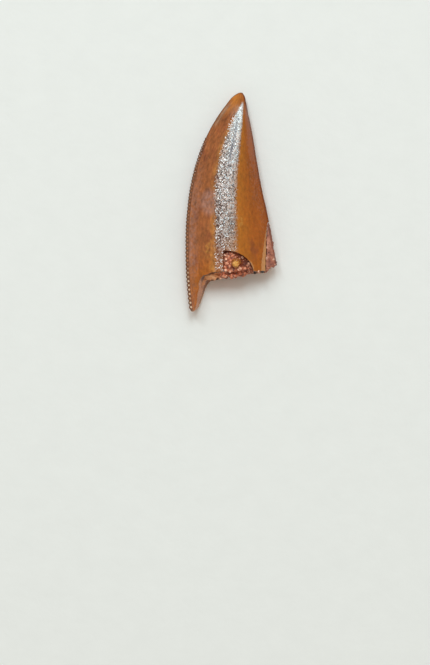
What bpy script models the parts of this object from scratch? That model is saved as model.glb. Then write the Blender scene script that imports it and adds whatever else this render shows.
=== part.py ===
"""A fossil theropod tooth, lying on its side.

The crown is a curved blade with a lens-shaped section and a keel down each edge. The front keel,
on the left, carries a row of denticles. The root end is broken off. The break leaves a long spur
under the front keel, a window through the upper wall, and a chip that has taken the rear keel.
Red sandstone fills the pulp cavity and shows in all three.

Frame: +X towards the rear keel, +Y towards the tip, +Z up. The origin is on the surface that the
tooth rests on, under the middle of its outline. Outlines are written in millimetres.
"""

import math

import bmesh
import bpy
from mathutils import Vector, noise

MM = 0.001

# Driving dimensions, in millimetres
TIP_Y = 13.22
BLADE_END_Y = -13.6
TIP_ROUNDING = 0.75
TIP_X = 1.2
TIP_Z = 1.32
WALL = 0.8
KEEL_WALL_FRONT = 1.6
KEEL_WALL_REAR = 0.8
GAP = 0.12
CAVITY_TOP_Y = 3.4
CAVITY_TAPER = 7.0
# Where the rounded top of the cavity and of its fill is cut flat, and where its side begins
BLUNT, ROUND_END = 0.02, 0.4
CHIP_FLOOR_Z = 1.7
CHIP_FLOOR_RISE = 0.42
CHIP_WALL_SLOPE = 0.05
WINDOW_FLOOR_Z = 2.6
WINDOW_TAPER = 0.018
CUT_TOP_Z, CUT_BOTTOM_Z = 6.0, -1.0

# How rough each fracture is, and how far apart its bumps are
FRACTURE_GRAIN, CHIP_GRAIN = 0.55, 0.5
BREAK_ROUGHNESS, WINDOW_ROUGHNESS, CHIP_ROUGHNESS = 0.11, 0.05, 0.06

# How the section bulges: height = (1 - share ** BULGE) ** PINCH, from the crest out to a keel
BULGE = 2.4
PINCH_FRONT = 1.12
PINCH_REAR = 1.25

# Outlines, as (y, value) in millimetres from the tip down
FRONT_KEEL = [
    (13.22, 0.55), (12.26, -0.20), (10.33, -1.58), (8.40, -2.66), (6.23, -3.58), (3.83, -4.32),
    (1.42, -4.84), (-0.99, -5.12), (-3.40, -5.28), (-8.22, -5.24), (-11.84, -4.96), (-12.80, -4.84),
    (-13.60, -4.64),
]
REAR_KEEL = [
    (13.22, 1.60), (11.30, 1.96), (8.40, 2.55), (5.03, 3.09), (1.42, 3.75), (-1.96, 4.50),
    (-4.61, 4.96), (-7.38, 5.48), (-13.22, 6.50),
]
CREST = [
    (13.22, 1.42), (9.85, 0.90), (6.23, 0.12), (3.83, -0.30), (1.42, -0.48), (-4.61, -0.60),
    (-13.22, -0.60),
]
UPPER_FACE = [
    (13.22, 1.85), (11.00, 2.30), (8.00, 3.00), (4.00, 3.85), (0.00, 4.48), (-4.00, 4.86),
    (-8.20, 5.00), (-13.22, 5.05),
]
LOWER_FACE = [
    (13.22, 0.78), (11.00, 0.52), (9.00, 0.26), (6.00, 0.00), (3.00, -0.13), (0.00, -0.17),
    (-4.00, -0.17), (-8.20, -0.13), (-13.22, -0.05),
]
KEEL_HEIGHT = [(13.22, 1.32), (8.00, 1.62), (2.00, 2.02), (-4.00, 2.28), (-13.22, 2.38)]

# The break across the root end, as (x, y) from below the spur to past the rear keel, at two
# heights, and the corner that closes it far off beside the spur
BREAK_UPPER_Z, BREAK_LOWER_Z = 4.9, 0.4
BREAK_UPPER = [
    (-6.40, -13.32), (-4.90, -13.26), (-4.62, -13.12), (-4.44, -12.80), (-4.33, -12.30),
    (-4.26, -11.23), (-4.18, -10.39), (-4.12, -9.67), (-3.95, -9.14), (-3.55, -8.86),
    (-3.01, -8.72), (-2.40, -8.52), (-1.57, -8.44), (0.84, -8.36), (2.65, -8.34), (4.20, -8.36),
    (4.50, -8.10), (5.00, -7.74), (5.45, -7.52), (7.60, -7.30),
]
BREAK_LOWER = [
    (-6.40, -13.42), (-4.40, -13.34), (-4.06, -13.18), (-3.82, -12.88), (-3.64, -12.40),
    (-3.32, -11.40), (-3.06, -10.60), (-2.84, -9.98), (-2.52, -9.52), (-1.85, -9.30),
    (-1.08, -9.10), (-0.50, -8.98), (0.28, -9.00), (1.20, -8.80), (2.29, -8.66), (3.60, -8.56),
    (4.20, -8.44), (4.50, -8.14), (5.00, -7.76), (5.45, -7.54), (7.60, -7.30),
]
BREAK_CORNER = [(9.0, -16.0), (-6.4, -16.0)]
WINDOW = [
    (-0.96, -5.92), (-0.55, -5.90), (-0.10, -6.04), (0.50, -6.20), (1.08, -6.40), (1.66, -6.64),
    (2.10, -6.96), (2.36, -7.28), (2.54, -7.74), (2.70, -8.45), (2.70, -10.0), (-0.96, -10.0),
]
WINDOW_MIDDLE = (0.8, -8.0)
CHIP_EDGE = [(4.44, -2.50), (4.28, -3.40), (4.20, -5.20), (4.18, -6.60), (4.12, -7.60), (4.22, -9.50)]
CHIP_OUTER = [(8.0, -9.50), (8.0, -2.50)]

# Denticles down the front keel: first and last place, and the pitch at each
DENTICLE_TOP_Y, DENTICLE_FOOT_Y = 7.6, -12.75
DENTICLE_PITCH_TOP, DENTICLE_PITCH_FOOT = 0.34, 0.54
# Each one's half sizes, and how far its middle is inside the keel, as shares of the pitch
DENTICLE_RADII = (0.52, 0.46, 0.42)
DENTICLE_SINK = 0.12

# The bared sandstone stands up in the window: its height, its bumps, how wide a rim it rises
# over, and how much lower it is for each millimetre right of SWELL_FALL_X
SWELL, SWELL_BUMPS, SWELL_GRAIN = 0.30, 0.34, 0.42
SWELL_RIM, SWELL_RISE = 0.12, 0.3
SWELL_FALL, SWELL_FALL_X = 0.16, 0.9

# Sandstone grains that stand out, as (x, y, z, radius)
YELLOW_GRAIN = (0.62, -7.22, 4.42, 0.43)
WINDOW_GRAINS = [
    YELLOW_GRAIN, (-0.40, -6.52, 4.30, 0.26), (1.34, -6.86, 4.02, 0.23), (1.98, -7.52, 3.82, 0.27),
    (-0.46, -7.30, 4.42, 0.28), (0.05, -7.98, 4.44, 0.30), (1.14, -8.00, 4.12, 0.36),
    (-0.55, -8.10, 4.36, 0.26),
]
BREAK_GRAINS = [
    (-1.50, -8.56, 3.20, 0.34), (-0.20, -8.60, 3.62, 0.36), (0.28, -8.84, 2.80, 0.40),
    (1.10, -8.54, 3.40, 0.34), (1.78, -8.50, 2.70, 0.38), (-1.10, -8.80, 2.20, 0.36),
    (0.70, -8.76, 1.90, 0.38), (2.50, -8.46, 1.95, 0.34), (-0.40, -8.84, 1.40, 0.34),
    (3.40, -8.40, 2.10, 0.28),
]
CHIP_GRAINS = [
    (4.72, -4.90, 2.62, 0.26), (4.94, -5.90, 2.60, 0.28), (4.70, -6.60, 2.76, 0.28),
    (4.84, -7.30, 2.66, 0.28),
]
BREAK_RECESS = (3.30, -8.78, 2.95, (0.80, 0.52, 0.42))
# How rough a grain is and how far apart its bumps are, as shares of its radius
GRAIN_ROUGHNESS, GRAIN_BUMPS = 0.32, 1.3

BLADE_POINTS = 28
FILL_POINTS = 36
BREAK_POINTS = 46
CHIP_POINTS = 14
GLOSSY_ENAMEL = ("enamel", (0.33, 0.12, 0.04), 0.25)
RED_SANDSTONE = ("sandstone", (0.31, 0.12, 0.08), 0.8)


def through(points, y):
    """The value at y of a smooth curve through (y, value) points that run from high y to low."""
    last = len(points) - 2
    i = next((n for n in range(last) if y >= points[n + 1][0]), last)

    def slope(n):
        before, after = points[max(n - 1, 0)], points[min(n + 1, last + 1)]
        return (after[1] - before[1]) / (after[0] - before[0])

    (y0, v0), (y1, v1) = points[i], points[i + 1]
    span = y1 - y0
    t = min(max((y - y0) / span, 0.0), 1.0)
    return (
        (2 * t**3 - 3 * t**2 + 1) * v0
        + (t**3 - 2 * t**2 + t) * span * slope(i)
        + (3 * t**2 - 2 * t**3) * v1
        + (t**3 - t**2) * span * slope(i + 1)
    )


def rounding(depth, length):
    """The share of full size at a depth into a round end of that length."""
    return math.sqrt(max(0.0, 1.0 - (1.0 - min(depth / length, 1.0)) ** 2))


def lens_ring(y, points, front_inset=0.0, rear_inset=0.0, face_inset=0.0, end=None):
    """One ring of the blade's section at height y, in millimetres.

    The insets draw the ring in from the keels and the faces. The end is (y, length) of a round
    end of its own, for a shape that stops short of the tooth's tip. No point is below the resting
    surface, so the lower face gets its small flat there.
    """
    size = rounding(TIP_Y - y, TIP_ROUNDING)
    left = TIP_X + (through(FRONT_KEEL, y) - TIP_X) * size + front_inset
    right = TIP_X + (through(REAR_KEEL, y) - TIP_X) * size - rear_inset
    crest = TIP_X + (through(CREST, y) - TIP_X) * size
    top = TIP_Z + (through(UPPER_FACE, y) - TIP_Z) * size - face_inset
    bottom = TIP_Z + (through(LOWER_FACE, y) - TIP_Z) * size + face_inset
    keel_z = TIP_Z + (through(KEEL_HEIGHT, y) - TIP_Z) * size
    share = rounding(end[0] - y, end[1]) if end else 1.0
    ring = []
    for i in range(points):
        angle = 2 * math.pi * i / points
        across = abs(math.cos(angle))
        side, pinch = (right, PINCH_REAR) if math.cos(angle) > 0 else (left, PINCH_FRONT)
        face = top if math.sin(angle) > 0 else bottom
        height = max(0.0, 1.0 - across**BULGE) ** pinch
        z = keel_z + (face - keel_z) * height * share
        ring.append(Vector((crest + (side - crest) * across * share, y, max(z, 0.0))))
    return ring


def depth_inside(outline, x, y):
    """How far (x, y) is inside a convex clockwise outline. It is negative outside."""
    return min(
        ((x - x0) * (y1 - y0) - (y - y0) * (x1 - x0)) / math.dist((x0, y0), (x1, y1))
        for (x0, y0), (x1, y1) in zip(outline, outline[1:] + outline[:1])
    )


def new_object(name, mesh_builder, finish=None, cutter=False):
    """An object from a bmesh in millimetres. A cutter is a guide that the finished part leaves out."""
    bmesh.ops.scale(mesh_builder, vec=(MM, MM, MM), verts=mesh_builder.verts)
    bmesh.ops.recalc_face_normals(mesh_builder, faces=mesh_builder.faces)
    mesh = bpy.data.meshes.new(name)
    mesh_builder.to_mesh(mesh)
    mesh_builder.free()
    made = bpy.data.objects.new(name, mesh)
    bpy.context.scene.collection.objects.link(made)
    made.parent = bpy.data.objects["tooth"]
    if finish:
        mesh.materials.append(material(*finish))
    if cutter:
        made.hide_render = True
        made.display_type = "WIRE"
    return made


def material(name, colour, roughness):
    """A Principled material of one colour."""
    made = bpy.data.materials.new(name)
    made.use_nodes = True
    shader = made.node_tree.nodes["Principled BSDF"]
    shader.inputs["Base Color"].default_value = (*colour, 1.0)
    shader.inputs["Roughness"].default_value = roughness
    shader.inputs["Metallic"].default_value = 0.0
    return made


def loft(rings, tip=None):
    """A closed bmesh through rings of points, with flat ends, or drawn to a point at the tip."""
    built = bmesh.new()
    loops = [[built.verts.new(point) for point in ring] for ring in rings]
    for upper, lower in zip(loops, loops[1:]):
        for i in range(len(upper)):
            j = (i + 1) % len(upper)
            built.faces.new((upper[i], upper[j], lower[j], lower[i]))
    if tip:
        point = built.verts.new(tip)
        for i in range(len(loops[0])):
            built.faces.new((loops[0][i], point, loops[0][(i + 1) % len(loops[0])]))
    else:
        built.faces.new(loops[0])
    built.faces.new(list(reversed(loops[-1])))
    return built


def stations(start, stop, count, crowding=1.0):
    """Heights from start down to stop, closer together near the start as crowding rises."""
    return [start + (stop - start) * (i / (count - 1)) ** crowding for i in range(count)]


def along(path, count):
    """Points evenly spaced along an open path of (x, y) points."""
    lengths = [math.dist(a, b) for a, b in zip(path, path[1:])]
    total = sum(lengths)
    made = []
    for n in range(count):
        distance = total * n / (count - 1)
        for (a, b), length in zip(zip(path, path[1:]), lengths):
            if distance <= length + 1e-9:
                made.append(Vector(a).lerp(Vector(b), min(distance / length, 1.0)))
                break
            distance -= length
    return made


def roughened(point, amount, grain, seed):
    """The point moved by smooth, repeatable noise."""
    sample = Vector((point.x / grain + seed, point.y / grain, point.z / grain))
    shift = [noise.noise(sample + Vector((0.0, 17.3 * axis, 5.1))) for axis in range(3)]
    return point + 1.3 * amount * Vector(shift)


def prism(outline_at, heights, rough_points=0, amount=0.0, seed=0.0):
    """A closed bmesh between heights, from outline_at(z). Its first rough_points are a fracture."""
    rings = []
    for z in heights:
        ring = []
        for i, flat in enumerate(outline_at(z)):
            point = Vector((flat.x, flat.y, z))
            if i < rough_points:
                moved = roughened(point, amount, FRACTURE_GRAIN, seed)
                point = Vector((moved.x, moved.y, z))
            ring.append(point)
        rings.append(ring)
    return loft(rings)


def add_boolean(target, other, operation):
    """Keeps a live Boolean with another object on the target."""
    modifier = target.modifiers.new(f"{operation.lower()} {other.name}", "BOOLEAN")
    modifier.object = other
    modifier.operation = operation
    modifier.solver = "EXACT"


def crown_blade():
    """The whole blade before it was broken, with a pole at the tip and one flat face to rest on."""
    tip_heights = [TIP_Y - TIP_ROUNDING * (1 - math.cos(math.pi / 2 * n / 5)) for n in range(1, 5)]
    heights = tip_heights + stations(TIP_Y - TIP_ROUNDING, BLADE_END_Y, 36, 1.15)
    built = loft([lens_ring(y, BLADE_POINTS) for y in heights], tip=(TIP_X, TIP_Y, TIP_Z))
    resting = [f for f in built.faces if all(v.co.z <= 0.0 for v in f.verts)]
    bmesh.ops.dissolve_faces(built, faces=resting)
    return built


def denticles():
    """A row of separate rounded teeth along the front keel, as one guide mesh."""
    built = bmesh.new()
    y = DENTICLE_TOP_Y
    while y > DENTICLE_FOOT_Y:
        share = (DENTICLE_TOP_Y - y) / (DENTICLE_TOP_Y - DENTICLE_FOOT_Y)
        pitch = DENTICLE_PITCH_TOP + (DENTICLE_PITCH_FOOT - DENTICLE_PITCH_TOP) * share
        run = Vector((through(FRONT_KEEL, y + pitch) - through(FRONT_KEEL, y - pitch), 2 * pitch, 0))
        turn = Vector((0, 1, 0)).rotation_difference(run).to_matrix()
        made = bmesh.ops.create_icosphere(built, subdivisions=1, radius=pitch)["verts"]
        bmesh.ops.scale(built, vec=DENTICLE_RADII, verts=made)
        bmesh.ops.rotate(built, cent=(0, 0, 0), matrix=turn, verts=made)
        place = (through(FRONT_KEEL, y) + DENTICLE_SINK * pitch, y, through(KEEL_HEIGHT, y))
        bmesh.ops.translate(built, vec=place, verts=made)
        y -= pitch
    return built


def cavity_ring(y, points, inset):
    """One ring of the pulp cavity, drawn in by inset on every side."""
    return lens_ring(
        y,
        points,
        KEEL_WALL_FRONT + inset,
        KEEL_WALL_REAR + inset,
        WALL + inset,
        end=(CAVITY_TOP_Y - inset, CAVITY_TAPER),
    )


def cavity():
    """The pulp cavity, closed at its top and open past the root end."""
    heights = [CAVITY_TOP_Y - BLUNT] + stations(CAVITY_TOP_Y - ROUND_END, BLADE_END_Y - 0.6, 14, 1.1)
    return loft([cavity_ring(y, BLADE_POINTS, 0.0) for y in heights])


def fill():
    """The sandstone in the cavity. Its upper face swells up, rough, where the window bares it."""
    top = CAVITY_TOP_Y - GAP
    hidden = [top - BLUNT] + stations(top - ROUND_END, -5.6, 8)
    bared = stations(-5.85, -10.6, 19)
    rings = []
    for y in hidden + bared:
        ring = cavity_ring(y, FILL_POINTS, GAP)
        for point in ring:
            depth = depth_inside(WINDOW, point.x, point.y) - SWELL_RIM
            if point.z > through(KEEL_HEIGHT, y) and depth > 0:
                bumps = noise.noise(Vector((point.x / SWELL_GRAIN, point.y / SWELL_GRAIN, 7.3)))
                swell = SWELL - SWELL_FALL * max(point.x - SWELL_FALL_X, 0.0) + SWELL_BUMPS * bumps
                point.z += swell * min(depth / SWELL_RISE, 1.0)
        rings.append(ring)
    return loft(rings)


def break_outline(z):
    """The root break at height z, with the corner beside the spur closed far off."""
    share = (BREAK_UPPER_Z - z) / (BREAK_UPPER_Z - BREAK_LOWER_Z)
    pairs = zip(along(BREAK_UPPER, BREAK_POINTS), along(BREAK_LOWER, BREAK_POINTS))
    corner = [Vector(p) for p in BREAK_CORNER]
    return [upper + (lower - upper) * share for upper, lower in pairs] + corner


def root_break():
    """The block taken off the root end: everything below the break and beside the spur."""
    heights = stations(CUT_TOP_Z, CUT_BOTTOM_Z, 15)
    return prism(break_outline, heights, BREAK_POINTS, BREAK_ROUGHNESS, 0.0)


def window_block():
    """The block taken out of the upper wall, tapering a little inwards."""
    middle = Vector(WINDOW_MIDDLE)

    def outline(z):
        return [Vector(p).lerp(middle, WINDOW_TAPER * (CUT_TOP_Z - z)) for p in WINDOW]

    heights = stations(CUT_TOP_Z, WINDOW_FLOOR_Z, 6)
    return prism(outline, heights, len(WINDOW) - 2, WINDOW_ROUGHNESS, 3.0)


def chip_block(inset):
    """The block taken off the rear keel, drawn in by inset from the walls that it leaves."""
    edge = along([(x + inset, y) for x, y in CHIP_EDGE], CHIP_POINTS)
    outer = [Vector(p) for p in CHIP_OUTER]

    def outline(z):
        return [p + Vector((CHIP_WALL_SLOPE * (CUT_TOP_Z - z), 0.0)) for p in edge] + outer

    heights = stations(CUT_TOP_Z, CHIP_FLOOR_Z + inset, 7)
    built = prism(outline, heights, CHIP_POINTS, CHIP_ROUGHNESS, 5.0)
    for vert in built.verts:
        vert.co.z += CHIP_FLOOR_RISE * (vert.co.x - CHIP_EDGE[-1][0])
    return built


def chip_fill():
    """The sandstone under the chip: a rough copy of the blade's edge."""
    heights = stations(-2.6, -9.6, 22)
    rings = [lens_ring(y, FILL_POINTS, GAP, 0.04, 0.3) for y in heights]
    for ring in rings:
        for point in ring:
            point.x -= CHIP_ROUGHNESS * (1 + noise.noise(point / CHIP_GRAIN))
            point.z += 2 * CHIP_ROUGHNESS * noise.noise(point / CHIP_GRAIN)
    return loft(rings)


def grain(place, seed):
    """One rough rounded grain. The place is (x, y, z, radius), with one radius or three."""
    x, y, z, radius = place
    radii = Vector(radius) if isinstance(radius, tuple) else Vector((radius, radius, radius))
    built = bmesh.new()
    bmesh.ops.create_icosphere(built, subdivisions=2, radius=1.0)
    for vert in built.verts:
        vert.co = roughened(vert.co, GRAIN_ROUGHNESS, GRAIN_BUMPS, seed) * radii + Vector((x, y, z))
    return built


def build_crown():
    """The crown: enamel over dentine, with its cavity open at the break."""
    crown = new_object("tooth_crown", crown_blade(), GLOSSY_ENAMEL)
    add_boolean(crown, new_object("denticle_row", denticles(), cutter=True), "UNION")
    for name, block in (
        ("cavity_block", cavity()),
        ("root_break_block", root_break()),
        ("window_block", window_block()),
        ("chip_block", chip_block(0.0)),
    ):
        add_boolean(crown, new_object(name, block, cutter=True), "DIFFERENCE")
    return crown


def build_sandstone():
    """The sandstone: the cavity's fill, bared and rough in the window, at the break and the chip."""
    sandstone = new_object("sandstone_fill", fill(), RED_SANDSTONE)
    bared = new_object("bared_edge", chip_fill(), cutter=True)
    add_boolean(bared, new_object("chip_core", chip_block(GAP), cutter=True), "INTERSECT")
    add_boolean(sandstone, bared, "UNION")
    add_boolean(sandstone, bpy.data.objects["root_break_block"], "DIFFERENCE")
    recess = new_object("recess_block", grain(BREAK_RECESS, 9.0), cutter=True)
    add_boolean(sandstone, recess, "DIFFERENCE")
    # Only plane faces are left, so that every grain joins cleanly
    sandstone.modifiers.new("triangulate", "TRIANGULATE")
    for n, place in enumerate(WINDOW_GRAINS + BREAK_GRAINS + CHIP_GRAINS):
        lump = new_object(f"grain_block_{n}", grain(place, 20.0 + n), cutter=True)
        add_boolean(sandstone, lump, "UNION")
    return sandstone


def main():
    """Clears the scene and builds both pieces under one empty."""
    for old in list(bpy.data.objects):
        bpy.data.objects.remove(old)
    tooth = bpy.data.objects.new("tooth", None)
    bpy.context.scene.collection.objects.link(tooth)
    for piece in (build_crown(), build_sandstone()):
        piece.data.shade_smooth()
        piece.data.set_sharp_from_angle(angle=math.radians(40))


main()
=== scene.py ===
"""A fossil theropod tooth lying on its side, seen from above under soft studio light.

The crown is grown ring by ring along the outlines of the real one, set with denticles, and broken:
a long spur under the front keel, a window through the upper wall and a chip out of the rear keel.
Red sandstone fills the pulp cavity and shows in all three.

Frame: +X towards the rear keel, +Y towards the tip, +Z up. Pieces are modelled in millimetres and
settled into the frame's metres when they are finished.
"""

import logging
import math
import random
from collections.abc import Callable, Iterator
from contextlib import contextmanager
from dataclasses import dataclass, field
from enum import Enum

import bmesh
import bpy
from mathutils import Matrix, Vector
from mathutils.bvhtree import BVHTree


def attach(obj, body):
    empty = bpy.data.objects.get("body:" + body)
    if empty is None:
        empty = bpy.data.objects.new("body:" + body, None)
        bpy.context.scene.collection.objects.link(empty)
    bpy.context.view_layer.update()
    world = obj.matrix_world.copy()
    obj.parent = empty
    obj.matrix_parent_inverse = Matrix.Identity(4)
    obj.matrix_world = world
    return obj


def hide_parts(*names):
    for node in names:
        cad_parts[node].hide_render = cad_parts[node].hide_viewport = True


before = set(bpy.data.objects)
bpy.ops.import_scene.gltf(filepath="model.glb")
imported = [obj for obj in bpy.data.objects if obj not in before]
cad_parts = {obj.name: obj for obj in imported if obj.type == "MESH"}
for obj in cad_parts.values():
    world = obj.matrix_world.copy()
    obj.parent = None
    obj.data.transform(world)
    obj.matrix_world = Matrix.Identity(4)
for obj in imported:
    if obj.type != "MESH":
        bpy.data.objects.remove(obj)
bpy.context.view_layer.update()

LOG = logging.getLogger("tooth")
MM = 0.001
NEAR = 1e-4
NO_LENGTH = 0.001
DOWN = Vector((0, 0, -1))
TIPWARDS = Vector((0, 1, 0))
RAY_TOP, RAY_FOOT, TOOL_TOP = 8.0, -16.0, 6.0

Piece = bpy.types.Object
Colour = tuple[float, float, float]
Place = tuple[float, float]
Spot = tuple[float, float, float]
Lump = tuple[Spot, Spot]
Test = Callable[[Vector], bool]

WINDOW_MIDDLE: Place = (-0.75, -8.6)
WINDOW_REACH: Place = (3.45, 2.68)
# Where shadow is painted into two small hollows at the root end, and the painted shadow's colour.
HOLLOWS: tuple[Lump, ...] = (
    ((2.86, -8.56, 2.20), (0.35, 0.31, 0.85)),
    ((3.78, -8.50, 2.55), (0.31, 0.31, 0.85)),
)
HOLLOW_SHADOW: Colour = (0.012, 0.005, 0.004)
DAYLIGHT: Colour = (0.72, 0.93, 1.0)


class Join(Enum):
    """What a tool does to the piece that it is brought to."""

    ADD = "UNION"
    CUT = "DIFFERENCE"
    KEEP = "INTERSECT"


class Relief(Enum):
    """The kinds of unevenness that a surface can be given."""

    BILLOWS = "CLOUDS"
    CELLS = "VORONOI"


# Modelling


class Bench:
    """The modelling bench: Blender's own operators, used on one piece at a time."""

    @staticmethod
    def clear() -> None:
        """Leaves nothing selected."""
        bpy.ops.object.select_all(action="DESELECT")

    @staticmethod
    def pick_all() -> None:
        """Selects all of the piece that is open in edit mode."""
        bpy.ops.mesh.select_all(action="SELECT")

    @staticmethod
    def face_out() -> None:
        """Turns every face of the open piece outwards."""
        Bench.pick_all()
        bpy.ops.mesh.normals_make_consistent(inside=False)

    @staticmethod
    def slice_off(place: Spot | Vector, facing: Spot | Vector, front: bool = False) -> None:
        """Cuts the open piece by a plane, takes one part away and closes the cut.

        Args:
            place: A point of the plane.
            facing: The way that the plane faces.
            front: Whether the part in front of the plane goes, and not the part behind it.
        """
        Bench.pick_all()
        bpy.ops.mesh.bisect(
            plane_co=place, plane_no=facing, use_fill=True, clear_inner=not front, clear_outer=front
        )

    @staticmethod
    def fix_place(piece: Piece) -> None:
        """Puts a piece's place, turn and size into its mesh."""
        Bench.take(piece)
        bpy.ops.object.transform_apply(location=True, rotation=True, scale=True)

    @staticmethod
    def take(piece: Piece) -> None:
        """Makes a piece the only selected one.

        Args:
            piece: The piece to work on.
        """
        Bench.clear()
        piece.select_set(True)
        bpy.context.view_layer.objects.active = piece

    @staticmethod
    def start(name: str, primitive: Callable[..., set[str]], **settings: object) -> Piece:
        """Adds a primitive and puts its place into its mesh.

        Args:
            name: The piece's name.
            primitive: The operator that adds it.
            settings: The operator's settings.

        Returns:
            The new piece.
        """
        Bench.clear()
        primitive(**settings)
        piece = bpy.context.active_object
        piece.name = piece.data.name = name
        Bench.fix_place(piece)
        return piece

    @staticmethod
    @contextmanager
    def editing(piece: Piece) -> Iterator[None]:
        """Opens a piece in edit mode, and closes it afterwards.

        Args:
            piece: The piece to open.

        Returns:
            The context, which gives nothing.
        """
        Bench.take(piece)
        bpy.ops.object.mode_set(mode="EDIT")
        yield
        bpy.ops.object.mode_set(mode="OBJECT")

    @staticmethod
    def pick(piece: Piece, test: Test) -> None:
        """Selects the vertices whose place passes a test, and the edges and faces between them.

        Args:
            piece: The piece that is open in edit mode.
            test: The test of a vertex's place.
        """
        built = bmesh.from_edit_mesh(piece.data)
        for part in (*built.faces, *built.edges):
            part.select = False
        for vert in built.verts:
            vert.select = test(vert.co)
        built.select_flush(True)

    @staticmethod
    def pick_edges(piece: Piece, test: Callable[[Vector, Vector], bool]) -> None:
        """Selects the edges whose two ends pass a test, and no faces.

        Args:
            piece: The piece that is open in edit mode.
            test: The test of an edge's two ends.
        """
        built = bmesh.from_edit_mesh(piece.data)
        for part in (*built.faces, *built.verts):
            part.select = False
        for edge in built.edges:
            edge.select = test(edge.verts[0].co, edge.verts[1].co)

    @staticmethod
    def pick_slivers(piece: Piece) -> None:
        """Selects the faces that hang on the surface by a single edge.

        Args:
            piece: The piece that is open in edit mode.
        """
        built = bmesh.from_edit_mesh(piece.data)
        for part in (*built.verts, *built.edges, *built.faces):
            part.select = False
        for face in built.faces:
            if sum(len(edge.link_faces) == 1 for edge in face.edges) > 1:
                face.select_set(True)

    @staticmethod
    def apply(piece: Piece, kind: str, **settings: object) -> None:
        """Adds a modifier to a piece and applies it.

        Args:
            piece: The piece.
            kind: The modifier's type.
            settings: The modifier's settings.
        """
        modifier = piece.modifiers.new(kind.lower(), kind)
        for setting, value in settings.items():
            setattr(modifier, setting, value)
        Bench.take(piece)
        bpy.ops.object.modifier_apply(modifier=modifier.name)

    @staticmethod
    def smooth(piece: Piece, levels: int) -> None:
        """Subdivides a piece smoothly, with every face divided so many times."""
        Bench.apply(piece, "SUBSURF", levels=levels, render_levels=levels)

    @staticmethod
    def roughen(piece: Piece, relief: Relief, size: float, amount: float) -> None:
        """Moves a surface in and out along its normals.

        Args:
            piece: The piece.
            relief: The kind of unevenness.
            size: How far apart its bumps are.
            amount: The height from the lowest to the highest.
        """
        texture = bpy.data.textures.new(f"{piece.name}_{relief.name.lower()}", relief.value)
        texture.noise_scale = size
        Bench.apply(
            piece, "DISPLACE", texture=texture, texture_coords="LOCAL", strength=amount, mid_level=0.5
        )

    @staticmethod
    def bring(tool: Piece, piece: Piece, join: Join) -> None:
        """Joins a tool to a piece or cuts the piece with it. The tool is used up.

        Cut faces take the tool's finish.

        Args:
            tool: The other shape.
            piece: The piece that is changed.
            join: What the tool does.
        """
        Bench.apply(piece, "TRIANGULATE")
        Bench.apply(
            piece,
            "BOOLEAN",
            object=tool,
            operation=join.value,
            solver="EXACT",
            material_mode="TRANSFER",
        )
        bpy.data.objects.remove(tool)

    @staticmethod
    def copy(piece: Piece, name: str) -> Piece:
        """Copies a piece together with its mesh.

        Args:
            piece: The piece to copy.
            name: The copy's name.

        Returns:
            The copy.
        """
        made = piece.copy()
        made.data = piece.data.copy()
        made.name = made.data.name = name
        bpy.context.scene.collection.objects.link(made)
        return made

    @staticmethod
    def gather(pieces: list[Piece]) -> Piece:
        """Puts several pieces into the first one's mesh.

        Args:
            pieces: The pieces, the one that stays first.

        Returns:
            The first piece.
        """
        Bench.take(pieces[0])
        for piece in pieces:
            piece.select_set(True)
        bpy.ops.object.join()
        return pieces[0]

    @staticmethod
    def settle(piece: Piece, sharp_deg: float = 38.0) -> Piece:
        """Cleans a finished piece, turns it from millimetres to the frame's metres, and shades it.

        Args:
            piece: The piece.
            sharp_deg: Edges that turn by more than this stay sharp.

        Returns:
            The piece.
        """
        with Bench.editing(piece):
            Bench.pick_all()
            bpy.ops.mesh.dissolve_degenerate(threshold=NO_LENGTH)
            Bench.pick_slivers(piece)
            bpy.ops.mesh.delete(type="FACE")
            Bench.pick_all()
            bpy.ops.mesh.delete_loose(use_verts=True, use_edges=True, use_faces=False)
            Bench.face_out()
        piece.scale = (MM,) * 3
        Bench.fix_place(piece)
        bpy.ops.object.shade_smooth_by_angle(angle=math.radians(sharp_deg))
        return piece

    @staticmethod
    def note(piece: Piece, name: str, values: list[float]) -> None:
        """Keeps one number for each vertex, in the vertices' order, for a finish to read by its name."""
        kept = piece.data.attributes.get(name) or piece.data.attributes.new(name, "FLOAT", "POINT")
        kept.data.foreach_set("value", values)


@dataclass(frozen=True)
class Course:
    """A smooth line through (y, value) stops that run from the tip down.

    Attributes:
        stops: The stops.
    """

    stops: tuple[Place, ...]

    def at(self, y: float) -> float:
        """The value at a height.

        Args:
            y: The height.

        Returns:
            The value.
        """
        last = len(self.stops) - 2
        i = next((n for n in range(last) if y >= self.stops[n + 1][0]), last)
        (y0, v0), (y1, v1) = self.stops[i], self.stops[i + 1]
        span = y1 - y0
        t = min(max((y - y0) / span, 0.0), 1.0)
        return (
            (2 * t**3 - 3 * t**2 + 1) * v0
            + (t**3 - 2 * t**2 + t) * span * self._slope(i)
            + (3 * t**2 - 2 * t**3) * v1
            + (t**3 - t**2) * span * self._slope(i + 1)
        )

    def _slope(self, n: int) -> float:
        """The slope at one stop, from its neighbours.

        Args:
            n: The stop's index.

        Returns:
            The slope.
        """
        before = self.stops[max(n - 1, 0)]
        after = self.stops[min(n + 1, len(self.stops) - 1)]
        return (after[1] - before[1]) / (after[0] - before[0])


def along(path: tuple[Place, ...], share: float) -> Vector:
    """The point at a share of an open path's length.

    Args:
        path: The path's corners.
        share: The share, from 0 to 1.

    Returns:
        The point.
    """
    lengths = [math.dist(a, b) for a, b in zip(path, path[1:])]
    distance = share * sum(lengths)
    for a, b, length in zip(path, path[1:], lengths):
        if distance <= length + NEAR:
            return Vector(a).lerp(Vector(b), min(distance / length, 1.0))
        distance -= length
    return Vector(path[-1])


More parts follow.
